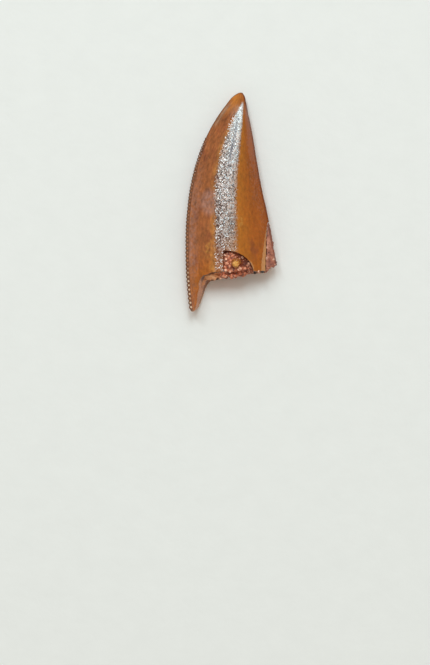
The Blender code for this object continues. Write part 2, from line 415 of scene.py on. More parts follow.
def ball(name: str, middle: Spot, reach: Spot) -> Piece:
    """Models an uneven ball.

    Args:
        name: Its name.
        middle: Its middle.
        reach: Its radii.

    Returns:
        The ball.
    """
    piece = Bench.start(
        name,
        bpy.ops.mesh.primitive_ico_sphere_add,
        subdivisions=4,
        radius=1.0,
        location=middle,
        scale=reach,
    )
    Bench.roughen(piece, Relief.BILLOWS, 0.35, min(reach) * 0.35)
    return piece


def spaced(start: float, stop: float, count: int, crowding: float = 1.0) -> list[float]:
    """Values from start to stop, closer together near the start as crowding rises.

    Args:
        start: The first value.
        stop: The last one.
        count: How many there are.
        crowding: The power that their steps follow.

    Returns:
        The values.
    """
    return [start + (stop - start) * (i / (count - 1)) ** crowding for i in range(count)]


def rounding(depth: float, length: float) -> float:
    """The share of full size at a depth into a round end of that length."""
    return math.sqrt(max(0.0, 1.0 - (1.0 - min(depth / length, 1.0)) ** 2))


@dataclass(frozen=True)
class Inset:
    """How far a shape inside the blade is drawn in from it.

    Attributes:
        front: From the front keel.
        rear: From the rear keel.
        face: From the two faces.
        top_y: Where its own round top is, if it has one.
        taper: How long that top is.
    """

    front: float = 0.0
    rear: float = 0.0
    face: float = 0.0
    top_y: float | None = None
    taper: float = 1.0


@dataclass(frozen=True)
class Section:
    """One section of the blade: its middle and its four reaches.

    Attributes:
        middle: The point where the crest's line meets the keels' height.
        front: The reach to the front keel.
        rear: The reach to the rear keel.
        above: The reach to the upper face.
        below: The reach to the lower face.
    """

    middle: Vector
    front: float
    rear: float
    above: float
    below: float


@dataclass(frozen=True)
class BladeForm:
    """The form of the crown before it broke: the outlines from above and from the side.

    Attributes:
        tip: The point of the tip.
        tip_rounding: How long its rounding is.
        foot_y: Where the blade ends.
        front_keel: The front keel's x.
        rear_keel: The rear keel's x.
        crest: The x of the highest line.
        upper_face: The crest's z.
        lower_face: The lower face's z, below zero where it is worn flat.
        keel_height: The keels' z.
        bulge: The power of the section's curve.
        pinch_front: How thin it runs out towards the front keel.
        pinch_rear: How thin it runs out towards the rear keel.
        crease: How sharp the keels are.
    """

    tip: Vector = field(default_factory=lambda: Vector((1.2, 13.22, 1.32)))
    tip_rounding: float = 0.75
    foot_y: float = -13.6
    front_keel: Course = Course((
        (13.22, 0.55), (12.26, -0.20), (10.33, -1.60), (8.40, -2.72), (6.23, -3.67), (3.83, -4.42),
        (1.42, -4.95), (-0.99, -5.24), (-3.40, -5.41), (-8.22, -5.38), (-11.84, -5.10),
        (-12.80, -4.97), (-13.60, -4.77),
    ))
    rear_keel: Course = Course((
        (13.22, 1.60), (11.30, 1.96), (8.40, 2.55), (5.03, 3.09), (1.42, 3.75), (-1.96, 4.50),
        (-4.61, 4.96), (-7.38, 5.48), (-13.22, 6.50),
    ))
    crest: Course = Course((
        (13.22, 1.42), (12.30, 1.47), (11.00, 1.31), (9.20, 1.02), (7.40, 0.68), (5.30, 0.30),
        (2.60, -0.18), (-0.40, -0.48), (-4.61, -0.68), (-13.22, -0.74),
    ))
    upper_face: Course = Course((
        (13.22, 1.85), (11.00, 2.30), (8.00, 3.00), (4.00, 3.85), (0.00, 4.48), (-4.00, 4.86),
        (-8.20, 5.00), (-13.22, 5.05),
    ))
    lower_face: Course = Course((
        (13.22, 0.78), (11.00, 0.52), (9.00, 0.26), (6.00, 0.00), (3.00, -0.13), (0.00, -0.17),
        (-4.00, -0.17), (-8.20, -0.13), (-13.22, -0.05),
    ))
    keel_height: Course = Course((
        (13.22, 1.32), (8.00, 1.62), (2.00, 2.02), (-4.00, 2.28), (-13.22, 2.38),
    ))
    bulge: float = 2.4
    pinch_front: float = 1.12
    pinch_rear: float = 1.25
    crease: float = 0.85

    def section(self, y: float, inset: Inset = Inset()) -> Section:
        """The section at a height.

        Args:
            y: The height.
            inset: How far it is drawn in.

        Returns:
            The section.
        """
        size = rounding(self.tip.y - y, self.tip_rounding)

        def drawn(course: Course, towards: float) -> float:
            """A course's value, drawn towards the tip's where the tip is rounded."""
            return towards + (course.at(y) - towards) * size

        share = 1.0 if inset.top_y is None else rounding(inset.top_y - y, inset.taper)
        crest = drawn(self.crest, self.tip.x)
        keel = drawn(self.keel_height, self.tip.z)
        return Section(
            Vector((crest, y, keel)),
            (crest - drawn(self.front_keel, self.tip.x) - inset.front) * share,
            (drawn(self.rear_keel, self.tip.x) - crest - inset.rear) * share,
            (drawn(self.upper_face, self.tip.z) - keel - inset.face) * share,
            (keel - drawn(self.lower_face, self.tip.z) - inset.face) * share,
        )

    def heights(self, count: int) -> list[float]:
        """Heights from the rounded tip down to the foot.

        Args:
            count: How many rings there are below the rounding.

        Returns:
            The heights of all the rings.
        """
        steps = 6
        tip = [
            self.tip.y - self.tip_rounding * (1 - math.cos(math.pi / 2 * n / steps))
            for n in range(1, steps)
        ]
        return tip + spaced(self.tip.y - self.tip_rounding, self.foot_y, count, 1.1)

    def across(self, place: Vector) -> float:
        """Where a place is between the keels.

        Args:
            place: The place.

        Returns:
            -1 at the front keel, 0 on the crest and 1 at the rear keel.
        """
        here = self.section(place.y)
        offset = place.x - here.middle.x
        reach = here.rear if offset > 0 else here.front
        return max(-1.2, min(1.2, offset / max(reach, NEAR)))

    def from_front(self, place: Vector) -> float:
        """How far a place is behind the front keel."""
        here = self.section(place.y)
        return place.x - here.middle.x + here.front

    def from_rear(self, place: Vector) -> float:
        """How far a place is in front of the rear keel."""
        here = self.section(place.y)
        return here.middle.x + here.rear - place.x

    def grow(self, name: str, heights: list[float], sides: int, inset: Inset = Inset()) -> Piece:
        """Extrudes one ring down through the heights, and fits each new ring to its section.

        Args:
            name: The piece's name.
            heights: The rings' heights, the tip's first.
            sides: The points in a ring, a multiple of 4.
            inset: How far the shape is drawn in.

        Returns:
            A closed piece with creased keels.
        """
        sections = [self.section(y, inset) for y in heights]
        piece = Bench.start(
            name,
            bpy.ops.mesh.primitive_circle_add,
            vertices=sides,
            radius=1.0,
            fill_type="NGON",
            location=sections[0].middle,
            rotation=(math.pi / 2, 0.0, 0.0),
        )
        with Bench.editing(piece):
            self._pinch(piece, sections[0].middle, sides)
            self._fit(piece, sections[0], Section(sections[0].middle, 1.0, 1.0, 1.0, 1.0))
            for last, now in zip(sections, sections[1:]):
                Bench.pick(piece, lambda p: abs(p.y - last.middle.y) < NEAR)
                move = now.middle - last.middle
                bpy.ops.mesh.extrude_region_move(TRANSFORM_OT_translate={"value": move})
                self._fit(piece, now, last)
            self._sharpen(piece, sections)
        return piece

    def _pinch(self, piece: Piece, middle: Vector, sides: int) -> None:
        """Turns the round first ring into the section's lens, one upright pair of points at a time.

        Args:
            piece: The piece that is open in edit mode.
            middle: The ring's middle.
            sides: How many points it has.
        """
        for n in range(1, sides // 2):
            turn = 2 * math.pi * n / sides
            x = math.cos(turn)
            pinch = self.pinch_rear if x > 0 else self.pinch_front
            height = (1.0 - abs(x) ** self.bulge) ** pinch
            Bench.pick(piece, lambda p: abs(p.x - middle.x - x) < NEAR)
            bpy.ops.transform.resize(value=(1.0, 1.0, height / math.sin(turn)), center_override=middle)

    def _fit(self, piece: Piece, now: Section, last: Section) -> None:
        """Stretches the four sides of the newest ring about its middle.

        Args:
            piece: The piece that is open in edit mode.
            now: The section that the ring takes.
            last: The section that it has.
        """
        mid = now.middle
        sides: tuple[tuple[Test, Vector], ...] = (
            (lambda p: p.x < mid.x - NEAR, Vector((now.front / last.front, 1.0, 1.0))),
            (lambda p: p.x > mid.x + NEAR, Vector((now.rear / last.rear, 1.0, 1.0))),
            (lambda p: p.z > mid.z + NEAR, Vector((1.0, 1.0, now.above / last.above))),
            (lambda p: p.z < mid.z - NEAR, Vector((1.0, 1.0, now.below / last.below))),
        )
        for side, stretch in sides:
            Bench.pick(piece, lambda p: abs(p.y - mid.y) < NEAR and side(p))
            bpy.ops.transform.resize(value=stretch, center_override=mid)

    def _sharpen(self, piece: Piece, sections: list[Section]) -> None:
        """Creases the two keels.

        Args:
            piece: The piece that is open in edit mode.
            sections: The sections of its rings.
        """
        keel = {round(s.middle.y, 3): s for s in sections}

        def at_keel(place: Vector) -> bool:
            """Whether a place is on a keel.

            Args:
                place: The place.

            Returns:
                Whether it is.
            """
            here = keel[min(keel, key=lambda y: abs(y - place.y))]
            offset = place.x - here.middle.x
            return offset > here.rear - NEAR or offset < NEAR - here.front

        Bench.pick_edges(piece, lambda a, b: at_keel(a) and at_keel(b) and abs(a.y - b.y) > NEAR)
        bpy.ops.transform.edge_crease(value=self.crease)


@dataclass(frozen=True)
class Fracture:
    """The break across the root end: one path high in the section and one low in it.

    Attributes:
        high_z: The height of the upper path.
        high: Its (x, y) points, from below the spur to past the rear keel.
        low_z: The height of the lower path.
        low: Its points.
        top_z: The top of the block that is taken away.
        bottom_z: Its bottom.
        reach: How far the block runs down from the break.
    """

    high_z: float = 4.9
    high: tuple[Place, ...] = (
        (-6.40, -13.32), (-4.90, -13.26), (-4.62, -13.12), (-4.44, -12.80), (-4.33, -12.30),
        (-4.26, -11.23), (-4.18, -10.39), (-4.12, -9.67), (-3.95, -9.14), (-3.55, -8.86),
        (-3.01, -8.72), (-2.40, -8.52), (-1.57, -8.44), (0.84, -8.36), (2.65, -8.34), (4.20, -8.36),
        (4.50, -8.10), (5.00, -7.74), (5.45, -7.52), (7.60, -7.30),
    )
    low_z: float = 0.4
    low: tuple[Place, ...] = (
        (-6.40, -13.42), (-4.40, -13.34), (-4.06, -13.18), (-3.82, -12.88), (-3.64, -12.40),
        (-3.32, -11.40), (-3.06, -10.60), (-2.84, -9.98), (-2.52, -9.52), (-1.85, -9.30),
        (-1.08, -9.10), (-0.50, -8.98), (0.28, -9.00), (1.20, -8.80), (2.29, -8.66), (3.60, -8.56),
        (4.20, -8.44), (4.50, -8.14), (5.00, -7.76), (5.45, -7.54), (7.60, -7.30),
    )
    top_z: float = 6.0
    bottom_z: float = -1.0
    reach: float = 9.0

    def at(self, share: float, z: float) -> Vector:
        """A point of the break.

        Args:
            share: The share of its length, from the front.
            z: The height.

        Returns:
            The point.
        """
        rise = (self.high_z - z) / (self.high_z - self.low_z)
        upper, lower = along(self.high, share), along(self.low, share)
        flat = upper + (lower - upper) * rise
        return Vector((flat.x, flat.y, z))

    def block(self, name: str, columns: int, rows: int, coarse: float, fine: float) -> Piece:
        """Pulls a sheet onto the break column by column, then extrudes it away from the tip.

        Args:
            name: The block's name.
            columns: How many columns the sheet has.
            rows: How many rows.
            coarse: The height of the break's larger bumps.
            fine: The height of its grain.

        Returns:
            The closed block that takes the root end off.
        """
        piece = Bench.start(
            name,
            bpy.ops.mesh.primitive_grid_add,
            x_subdivisions=columns,
            y_subdivisions=1,
            size=1.0,
            rotation=(math.pi / 2, 0.0, 0.0),
        )
        starts = {v.index: v.co.copy() for v in piece.data.vertices}
        with Bench.editing(piece):
            for index, start in starts.items():
                goal = self.at(start.x + 0.5, self.top_z if start.z > 0 else self.bottom_z)
                Bench.pick(piece, lambda p: False)
                built = bmesh.from_edit_mesh(piece.data)
                built.verts.ensure_lookup_table()
                built.verts[index].select = True
                bpy.ops.transform.translate(value=goal - start)
            Bench.pick_edges(piece, lambda a, b: abs(a.z - b.z) > 1.0)
            bpy.ops.mesh.subdivide(number_cuts=rows - 1)
            Bench.pick_all()
            bpy.ops.mesh.extrude_region_move(TRANSFORM_OT_translate={"value": (0.0, -self.reach, 0.0)})
            Bench.face_out()
        Bench.roughen(piece, Relief.BILLOWS, 0.7, coarse)
        Bench.roughen(piece, Relief.BILLOWS, 0.2, fine)
        return piece


# Finishes


class Wire:
    """A shader socket that Python's operators work on. Each operator adds a Math node."""

    def __init__(self, board: "Board", socket: bpy.types.NodeSocket) -> None:
        """Keeps the socket and the board that it is on."""
        self.board = board
        self.socket = socket

    def __add__(self, other: "Wire | float") -> "Wire":
        """The sum."""
        return self.board.maths("ADD", self, other)

    __radd__ = __add__

    def __mul__(self, other: "Wire | float") -> "Wire":
        """The product."""
        return self.board.maths("MULTIPLY", self, other)

    def __sub__(self, other: "Wire | float") -> "Wire":
        """The difference."""
        return self.board.maths("SUBTRACT", self, other)

    def __rsub__(self, other: float) -> "Wire":
        """The difference from a number."""
        return self.board.maths("SUBTRACT", other, self)

    def __truediv__(self, other: "Wire | float") -> "Wire":
        """The quotient."""
        return self.board.maths("DIVIDE", self, other)

    def __pow__(self, other: float) -> "Wire":
        """The power."""
        return self.board.maths("POWER", self, other)

    def step(self, low: float, high: float) -> "Wire":
        """A smooth step: 0 at low and 1 at high. Low may be the greater."""
        inputs = {"Value": self, "From Min": low, "From Max": high}
        return self.board.add("MapRange", inputs, interpolation_type="SMOOTHSTEP")


class Board:
    """The node tree of one material, and the few ways in which nodes are added to it."""

    def __init__(self, name: str) -> None:
        """Starts a material with a Principled shader, and the place in millimetres.

        Args:
            name: The material's name.
        """
        self.material = bpy.data.materials.new(name)
        self.material.use_nodes = True
        self.tree = self.material.node_tree
        self.shader = self.tree.nodes["Principled BSDF"]
        self.place = self.stretch(self.add("TexCoord", {}, "Object"), (1 / MM, 1 / MM, 1 / MM))
        parts = self.add("SeparateXYZ", {0: self.place}).socket.node.outputs
        self.x, self.y, self.z = (Wire(self, part) for part in parts)

    def add(
        self, kind: str, inputs: dict[str | int, object], output: int | str = 0, **settings: object
    ) -> Wire:
        """Adds one node, and gives one of its outputs.

        Args:
            kind: The node's type, as it is called after ShaderNode.
            inputs: A value or a Wire for each socket that isn't left alone.
            output: Which output.
            settings: The node's own settings.

        Returns:
            The output.
        """
        made = self.tree.nodes.new(f"ShaderNode{kind}")
        for setting, value in settings.items():
            setattr(made, setting, value)
        for socket, value in inputs.items():
            self.feed(made.inputs[socket], value)
        return Wire(self, made.outputs[output])

    def feed(self, socket: bpy.types.NodeSocket, value: object) -> None:
        """Links a Wire to a socket, or sets the socket to a value.

        Args:
            socket: The socket.
            value: A Wire, a number, a colour or a vector.
        """
        if isinstance(value, Wire):
            self.tree.links.new(value.socket, socket)
        elif socket.type == "RGBA":
            socket.default_value = (*value, 1.0)
        else:
            socket.default_value = value

    def maths(self, operation: str, first: "Wire | float", second: "Wire | float") -> Wire:
        """A Math node on two values."""
        return self.add("Math", {0: first, 1: second}, operation=operation)

    def vector(self, operation: str, first: "Wire | Spot", second: "Wire | Spot | None" = None) -> Wire:
        """A Vector Math node on one vector or two."""
        inputs = {0: first} if second is None else {0: first, 1: second}
        return self.add("VectorMath", inputs, operation=operation)

    def stretch(self, vector: Wire, factors: Spot) -> Wire:
        """A vector with each of its parts multiplied."""
        return self.vector("MULTIPLY", vector, factors)

    def shade(self, colour: "Wire | Colour", amount: Wire) -> Wire:
        """A colour made darker or lighter, or any vector made shorter or longer, by a factor."""
        return self.add("VectorMath", {0: colour, "Scale": amount}, operation="SCALE")

    def combine(self, x: "Wire | float", y: "Wire | float", z: "Wire | float") -> Wire:
        """A vector of three values."""
        return self.add("CombineXYZ", {0: x, 1: y, 2: z})

    def mix(self, under: "Wire | Colour", over: "Wire | Colour", share: "Wire | float") -> Wire:
        """One colour laid over another by a share."""
        return self.add("Mix", {0: share, 6: under, 7: over}, 2, data_type="RGBA", clamp_factor=True)

    def ramp(self, value: Wire, stops: list[tuple[float, Colour]]) -> Wire:
        """A value turned into a colour.

        Args:
            value: The value.
            stops: Values from 0 to 1, each with its colour.

        Returns:
            The colour.
        """
        made = self.add("ValToRGB", {0: value})
        elements = made.socket.node.color_ramp.elements
        while len(elements) < len(stops):
            elements.new(1.0)
        for element, (position, colour) in zip(elements, stops):
            element.position = position
            element.color = (*colour, 1.0)
        return made

    def noise(self, where: Wire, scale: float, detail: float = 2.0, output: int = 0) -> Wire:
        """Soft noise from 0 to 1, with so many bumps in a unit of the coordinates. Output 1 gives three."""
        return self.add("TexNoise", {"Vector": where, "Scale": scale, "Detail": detail}, output)

    def cells(self, where: Wire, scale: float, output: str = "Distance") -> Wire:
        """Cells of random size: the distance from each one's middle, or its own colour."""
        return self.add("TexVoronoi", {"Vector": where, "Scale": scale}, output)

    def kept(self, name: str) -> Wire:
        """The number that the mesh keeps under a name."""
        return self.add("Attribute", {}, "Fac", attribute_name=name)

    def red(self, colour: Wire) -> Wire:
        """The red part of a colour: the random value of a cell."""
        return self.add("SeparateColor", {0: colour})

    def away(self, middle: Place | Spot, reach: Place | Spot) -> Wire:
        """How far a place is from an oval's middle, squared: 1 on its edge. A flat one is seen from above."""
        parts = [((axis - m) / r) ** 2.0 for axis, m, r in zip((self.x, self.y, self.z), middle, reach)]
        return sum(parts[1:], parts[0])

    def spot(self, x: float, y: float, width: float, height: float, soft: float = 0.6) -> Wire:
        """A soft oval mask seen from above.

        Args:
            x: Its middle's x.
            y: Its middle's y.
            width: Half its width.
            height: Half its height.
            soft: The share of the radius over which it fades.

        Returns:
            The mask, 1 in the middle.
        """
        return self.away((x, y), (width, height)).step(1.0, (1.0 - soft) ** 2)

    def bump(self, height: Wire, distance: float, strength: float, normal: Wire | None = None) -> Wire:
        """A normal that follows a height.

        Args:
            height: The height, from 0 to 1.
            distance: What 1 is, in millimetres.
            strength: The share of the effect.
            normal: The normal that it starts from, if it isn't the surface's.

        Returns:
            The normal.
        """
        inputs: dict[str | int, object] = {"Height": height, "Distance": distance * MM, "Strength": strength}
        if normal:
            inputs["Normal"] = normal
        return self.add("Bump", inputs)

    def finish(self, **sockets: object) -> bpy.types.Material:
        """Feeds the shader's sockets.

        Args:
            sockets: Their values, under their names with underscores for spaces.

        Returns:
            The material.
        """
        for socket, value in sockets.items():
            self.feed(self.shader.inputs[socket.replace("_", " ")], value)
        return self.material


def paint_hollow_shadows(board: Board, colour: Wire) -> Wire:
    """Paints shadow into the two small hollows under the enamel's edge at the root end: a near-black colour
    that stands for the shade of holes which the mesh has only as small nicks and pits.

    Args:
        board: The finish's board.
        colour: Its colour.

    Returns:
        The colour with the painted shadow in it.
    """
    for middle, reach in HOLLOWS:
        uneven = (board.noise(board.place, 2.4, 2.0) - 0.5) * 0.7
        colour = board.mix(colour, HOLLOW_SHADOW, (board.away(middle, reach) + uneven).step(1.15, 0.35))
    return colour


@dataclass(frozen=True)
class Enamel:
    """Glossy brown enamel, finely wrinkled, redder towards the front keel.

    Attributes:
        front_tone: Its colour in front of the crest.
        rear_tones: Its colours behind it, beside the crest and near the rear keel.
        tip_tone: Its colour at the tip.
        root_tone: Its colour at the root end.
        gilt: The golden strip in front of the crest.
        maroon: The darker stains in front of it.
        bruise: The purple-brown patch.
        ochre: The yellow mottling.
        ochre_spots: Where that is, as x, y, half the width and half the height.
        pale: The painted highlight on the tops of the denticles.
        edge: The pale worn edges beside the chip and the window, partly a painted highlight where they face
            the light.
        front_sheen: The painted pale sheen inside the front edge near the tip.
        dark: The painted shade in the grooves between the denticles and along the keels' edges.
        rear_keel_shade: The darker red brown beside the rear keel, partly its own colour and partly painted
            shade towards the edge.
        crest_shade_and_highlight: The darkest and the palest facets painted along the crest, a painted shade
            and a painted highlight that make its glitter.
        crest_sheen: The painted pale sheen on the crest towards the tip.
        valley_shade: The painted dark line down the crest there, between the two lobes of its highlight.
        roughness: How soft its gloss is.
        wrinkle: How far its fine wrinkles tilt, as a share of the normal.
    """

    front_tone: Colour = (0.375, 0.106, 0.029)
    rear_tones: tuple[Colour, Colour] = ((0.445, 0.131, 0.010), (0.388, 0.088, 0.006))
    tip_tone: Colour = (0.60, 0.178, 0.008)
    root_tone: Colour = (0.42, 0.102, 0.003)
    gilt: Colour = (0.50, 0.185, 0.040)
    maroon: Colour = (0.25, 0.050, 0.020)
    bruise: Colour = (0.385, 0.172, 0.124)
    ochre: Colour = (0.62, 0.25, 0.045)
    ochre_spots: tuple[tuple[float, float, float, float], ...] = (
        (-2.60, -5.85, 0.95, 1.35),
        (-2.15, -7.85, 0.60, 0.55),
        (1.15, -2.6, 0.35, 1.0),
        (3.78, -0.9, 0.14, 0.6),
        (1.48, 0.72, 0.30, 0.12),
    )
    pale: Colour = (0.95, 0.70, 0.50)
    edge: Colour = (0.62, 0.27, 0.105)
    front_sheen: Colour = (0.42, 0.24, 0.15)
    dark: Colour = (0.085, 0.030, 0.012)
    rear_keel_shade: Colour = (0.30, 0.050, 0.0)
    crest_shade_and_highlight: tuple[Colour, Colour] = ((0.012, 0.006, 0.008), (0.68, 0.52, 0.46))
    crest_sheen: Colour = (0.62, 0.56, 0.52)
    valley_shade: Colour = (0.080, 0.058, 0.085)
    roughness: float = 0.10
    wrinkle: float = 0.46

    def make(self, denticles: "DenticleRow") -> bpy.types.Material:
        """Builds the material.

        Args:
            denticles: The row whose tops are pale.

        Returns:
            The enamel.
        """
        board = Board("enamel")
        across = board.kept("across")
        clouds = board.noise(board.place, 0.55, 3.0)
        inside = across + 0.26 + board.y.step(-4.0, 4.0) * 0.11 - board.y.step(6.5, 10.5) * 0.13
        inside = inside - board.y.step(10.3, 12.3) * 0.17
        crest = self._crest(board, across, inside)
        valley = self._valley(board, across)
        colour = self._ground(board, across, clouds)
        gilt = inside.step(-0.18, -0.05) * inside.step(0.05, -0.01) * board.y.step(11.0, 9.5)
        colour = board.mix(colour, self.gilt, gilt * (clouds + 0.1))
        colour = self._patches(board, colour, across)
        # Painted highlight and painted shade: the crest's dark and pale facets, and its pale sheen towards
        # the tip.
        colour = self._paint_crest_highlight(board, colour, crest)
        # Painted shade: a dark line down the crest between the two lobes of its highlight.
        colour = board.mix(colour, self.valley_shade, valley * 0.75)
        colour = board.shade(colour, self._streaks(board, across, clouds))
        colour = self._worn_and_lit_edges(board, colour)
        colour = self._keels(board, colour, denticles)
        coat = crest * (board.y.step(3.0, 8.0) * 0.20 + board.y.step(-7.0, 0.0) * 0.20 + 0.12)
        return board.finish(
            Base_Color=colour,
            Roughness=self._gloss(board, crest, valley),
            IOR=1.52,
            Normal=self._wrinkles(board, crest),
            Coat_Weight=coat * (1.0 - valley * 0.8),
            Coat_Roughness=0.30,
            Coat_IOR=1.5,
            Subsurface_Weight=0.08,
            Subsurface_Radius=(1.0, 0.45, 0.2),
            Subsurface_Scale=0.3 * MM,
        )

    def _ground(self, board: Board, across: Wire, clouds: Wire) -> Wire:
        """The ground colour.

        Args:
            board: The finish's board.
            across: Where a place is between the keels.
            clouds: Large soft noise.

        Returns:
            The colour, which changes across the crown and along it.
        """
        rear = board.mix(*self.rear_tones, (across + (clouds - 0.5) * 0.4).step(0.22, 0.72))
        colour = board.mix(self.front_tone, rear, across.step(-0.12, 0.12))
        colour = board.mix(colour, self.tip_tone, board.y.step(9.5, 13.0) * 0.75)
        return board.mix(colour, self.root_tone, board.y.step(-5.0, -9.5) * 0.85)

    def _crest(self, board: Board, across: Wire, inside: Wire) -> Wire:
        """The mask of the crest band, where the highlight is painted and the coat lies.

        Args:
            board: The finish's board.
            across: Where a place is between the keels.
            inside: How far it is behind the crest's front edge.

        Returns:
            The mask, ragged along both edges.
        """
        ragged = (board.noise(board.place, 3.6, 2.0) - 0.5) * 0.16
        front, rear = (inside + ragged).step(-0.05, 0.05), (across + ragged).step(0.30, 0.15)
        return front * rear * board.y.step(12.2, 11.6)

    def _valley(self, board: Board, across: Wire) -> Wire:
        """The mask of the line down the crest between the two lobes of its highlight, painted dark and made
        duller.

        Args:
            board: The finish's board.
            across: Where a place is between the keels.

        Returns:
            The mask.
        """
        line = (across + 0.10).step(-0.075, -0.01) * (across + 0.10).step(0.075, 0.01)
        broken = board.noise(board.place, 2.6, 3.0).step(0.30, 0.62)
        return line * board.y.step(3.0, 6.5) * board.y.step(10.9, 9.8) * broken

    def _paint_crest_highlight(self, board: Board, colour: Wire, crest: Wire) -> Wire:
        """Paints the crest's highlight over the colour: dark and pale facets, a painted shade and a painted
        highlight, and a pale painted sheen towards the tip.

        Args:
            board: The finish's board.
            colour: The colour under them.
            crest: The crest's mask.

        Returns:
            The colour with them.
        """
        speck = board.mix(*self.crest_shade_and_highlight, board.red(self._facets(board)).step(0.35, 0.65))
        speck = board.shade(speck, board.y.step(1.5, -3.0) * -0.26 + 1.0)
        colour = board.mix(colour, speck, crest * (board.y.step(-3.5, -7.2) * -0.50 + 0.78))
        sheen = board.y.step(7.5, 11.0) * 0.60 + board.y.step(3.5, 7.0) * 0.10
        return board.mix(colour, self.crest_sheen, crest * sheen)

    def _gloss(self, board: Board, crest: Wire, valley: Wire) -> Wire:
        """How rough the enamel is: duller in the valley, at the tip and beside the crest near it.

        Args:
            board: The finish's board.
            crest: The crest's mask.
            valley: The valley's mask.

        Returns:
            The roughness.
        """
        ground = board.noise(board.place, 1.4, 3.0).step(0.2, 0.8) * 0.08 + (self.roughness - 0.04)
        beside = (1.0 - crest) * board.y.step(10.2, 11.0) * 0.35
        return ground + valley * 0.30 + board.y.step(11.35, 11.95) * 0.40 + beside

    def _streaks(self, board: Board, across: Wire, clouds: Wire) -> Wire:
        """How light the enamel is: streaks along the growth of the tooth, clouds and a fine grain.

        Args:
            board: The finish's board.
            across: Where a place is between the keels.
            clouds: Large soft noise.

        Returns:
            The factor for the colour.
        """
        grown = board.combine(across * 4.5, board.y * 0.22, board.z * 0.3)
        streaks = board.noise(grown, 2.6, 4.0)
        fine = board.noise(board.combine(across * 12.0, board.y * 1.1, 0.0), 1.6, 3.0)
        grain = board.noise(board.place, 3.2, 2.0)
        uneven = (streaks - 0.5) * 0.8 + (fine - 0.5) * 1.25 + (grain - 0.5) * 0.40
        side = across.step(-0.25, 0.25) * -0.4 + 1.0
        return uneven * side + (clouds - 0.5) * 0.55 + board.y.step(5.0, -6.0) * 0.11 + 0.96

    def _patches(self, board: Board, colour: Wire, across: Wire) -> Wire:
        """Lays the stains that the crown has over its ground colour, and a painted pale sheen inside the
        front edge near the tip.

        Args:
            board: The finish's board.
            colour: The ground colour.
            across: Where a place is between the keels.

        Returns:
            The stained colour.
        """
        y, front = board.y, board.kept("from_front")
        mottle = board.noise(board.place, 2.6, 3.0)
        stains = board.noise(board.stretch(board.place, (1.0, 0.55, 1.0)), 1.1, 4.0).step(0.48, 0.72)
        place = board.maths("MAXIMUM", across.step(-0.15, -0.4), board.spot(2.5, -5.9, 1.0, 2.0))
        colour = board.mix(colour, self.maroon, stains * place * 0.5)
        bruise = board.spot(-2.50, -0.1, 1.55, 2.0) * mottle.step(0.05, 0.65) * 0.85
        colour = board.mix(colour, self.bruise, bruise)
        pinkish = front.step(0.25, 0.5) * front.step(1.7, 0.9) * y.step(6.5, 0.0) * y.step(-9.5, -8.0)
        colour = board.mix(colour, self.bruise, pinkish * mottle.step(0.3, 0.7) * 0.5)
        for spot in self.ochre_spots:
            colour = board.mix(colour, self.ochre, board.spot(*spot) * mottle.step(0.42, 0.68) * 0.55)
        # Painted sheen: a pale glow inside the front edge near the tip.
        sheen = front.step(0.08, 0.30) * front.step(0.75, 0.35) * y.step(8.6, 9.8) * y.step(12.3, 11.2)
        return board.mix(colour, self.front_sheen, sheen * 0.6)

    def _worn_and_lit_edges(self, board: Board, colour: Wire) -> Wire:
        """Lightens the thin edge of the enamel beside the chip and on the right side of the window: the worn
        edge's paler colour, partly a painted highlight where the edge faces the light.

        Args:
            board: The finish's board.
            colour: The colour under it.

        Returns:
            The colour with the edges.
        """
        uneven = board.noise(board.place, 1.8, 3.0)
        away = board.kept("from_chip") + (uneven - 0.5) * 0.30 - board.y.step(-3.0, -8.2) * 0.42
        chip = away.step(0.14, 0.02) * board.y.step(-2.6, -3.4)
        colour = board.mix(colour, self.edge, chip * (0.45 + uneven * 0.8))
        # Only the window's right side, which faces the light, gets the pale edge with its painted highlight.
        ring = board.away(WINDOW_MIDDLE, WINDOW_REACH) + (uneven - 0.5) * 0.3
        window = ring.step(1.10, 1.01) * board.x.step(1.9, 2.5)
        return board.mix(colour, self.edge, window * (0.4 + uneven * 0.9))

    def _keels(self, board: Board, colour: Wire, denticles: "DenticleRow") -> Wire:
        """Paints shade along the keels' edges and into the grooves between the denticles, lays a darker red
        brown beside the rear keel, and paints a highlight on the denticles' tops.

        Args:
            board: The finish's board.
            colour: The colour under them.
            denticles: The row, whose spacing the grooves follow.

        Returns:
            The colour with both keels.
        """
        front, rear = board.kept("from_front"), board.kept("from_rear")
        # Painted shade along the rear keel's edge, then the darker red brown beside it, partly painted shade.
        colour = board.mix(colour, self.dark, rear.step(0.30, 0.10) * 0.95)
        colour = board.mix(colour, self.rear_keel_shade, rear.step(1.3, 0.1) * 0.5)
        pitch = (denticles.top_y - board.y) * denticles.widening + denticles.pitch_top
        counted = board.maths("LOGARITHM", pitch / denticles.pitch_top, math.e) / denticles.widening
        phase = board.maths("PINGPONG", counted, 0.5) * pitch
        inside = front - pitch * 0.34
        near = (phase ** 2.0 + inside ** 2.0) ** 0.5 / pitch
        row = board.y.step(8.0, 6.5)
        # Painted shade in the grooves between the denticles and along the front keel's edge.
        grooves = front.step(0.42, 0.30) * near.step(0.22, 0.36) * row
        edge = front.step(0.20, 0.05)
        colour = board.mix(colour, self.dark, board.maths("MAXIMUM", edge * 0.75, grooves * 0.65))
        # Painted highlight on the denticles' tops.
        some = board.noise(board.place, 1.1, 1.0).step(0.30, 0.62) * 0.6 + 0.4
        tops = near.step(0.30, 0.12) * (board.y.step(-7.4, -9.6) * 0.80 + 0.14) * row * some
        return board.mix(colour, self.pale, tops)

    def _facets(self, board: Board) -> Wire:
        """The random colours of the little facets of the surface."""
        return board.cells(board.stretch(board.place, (1.0, 0.8, 1.0)), 9.6, "Color")

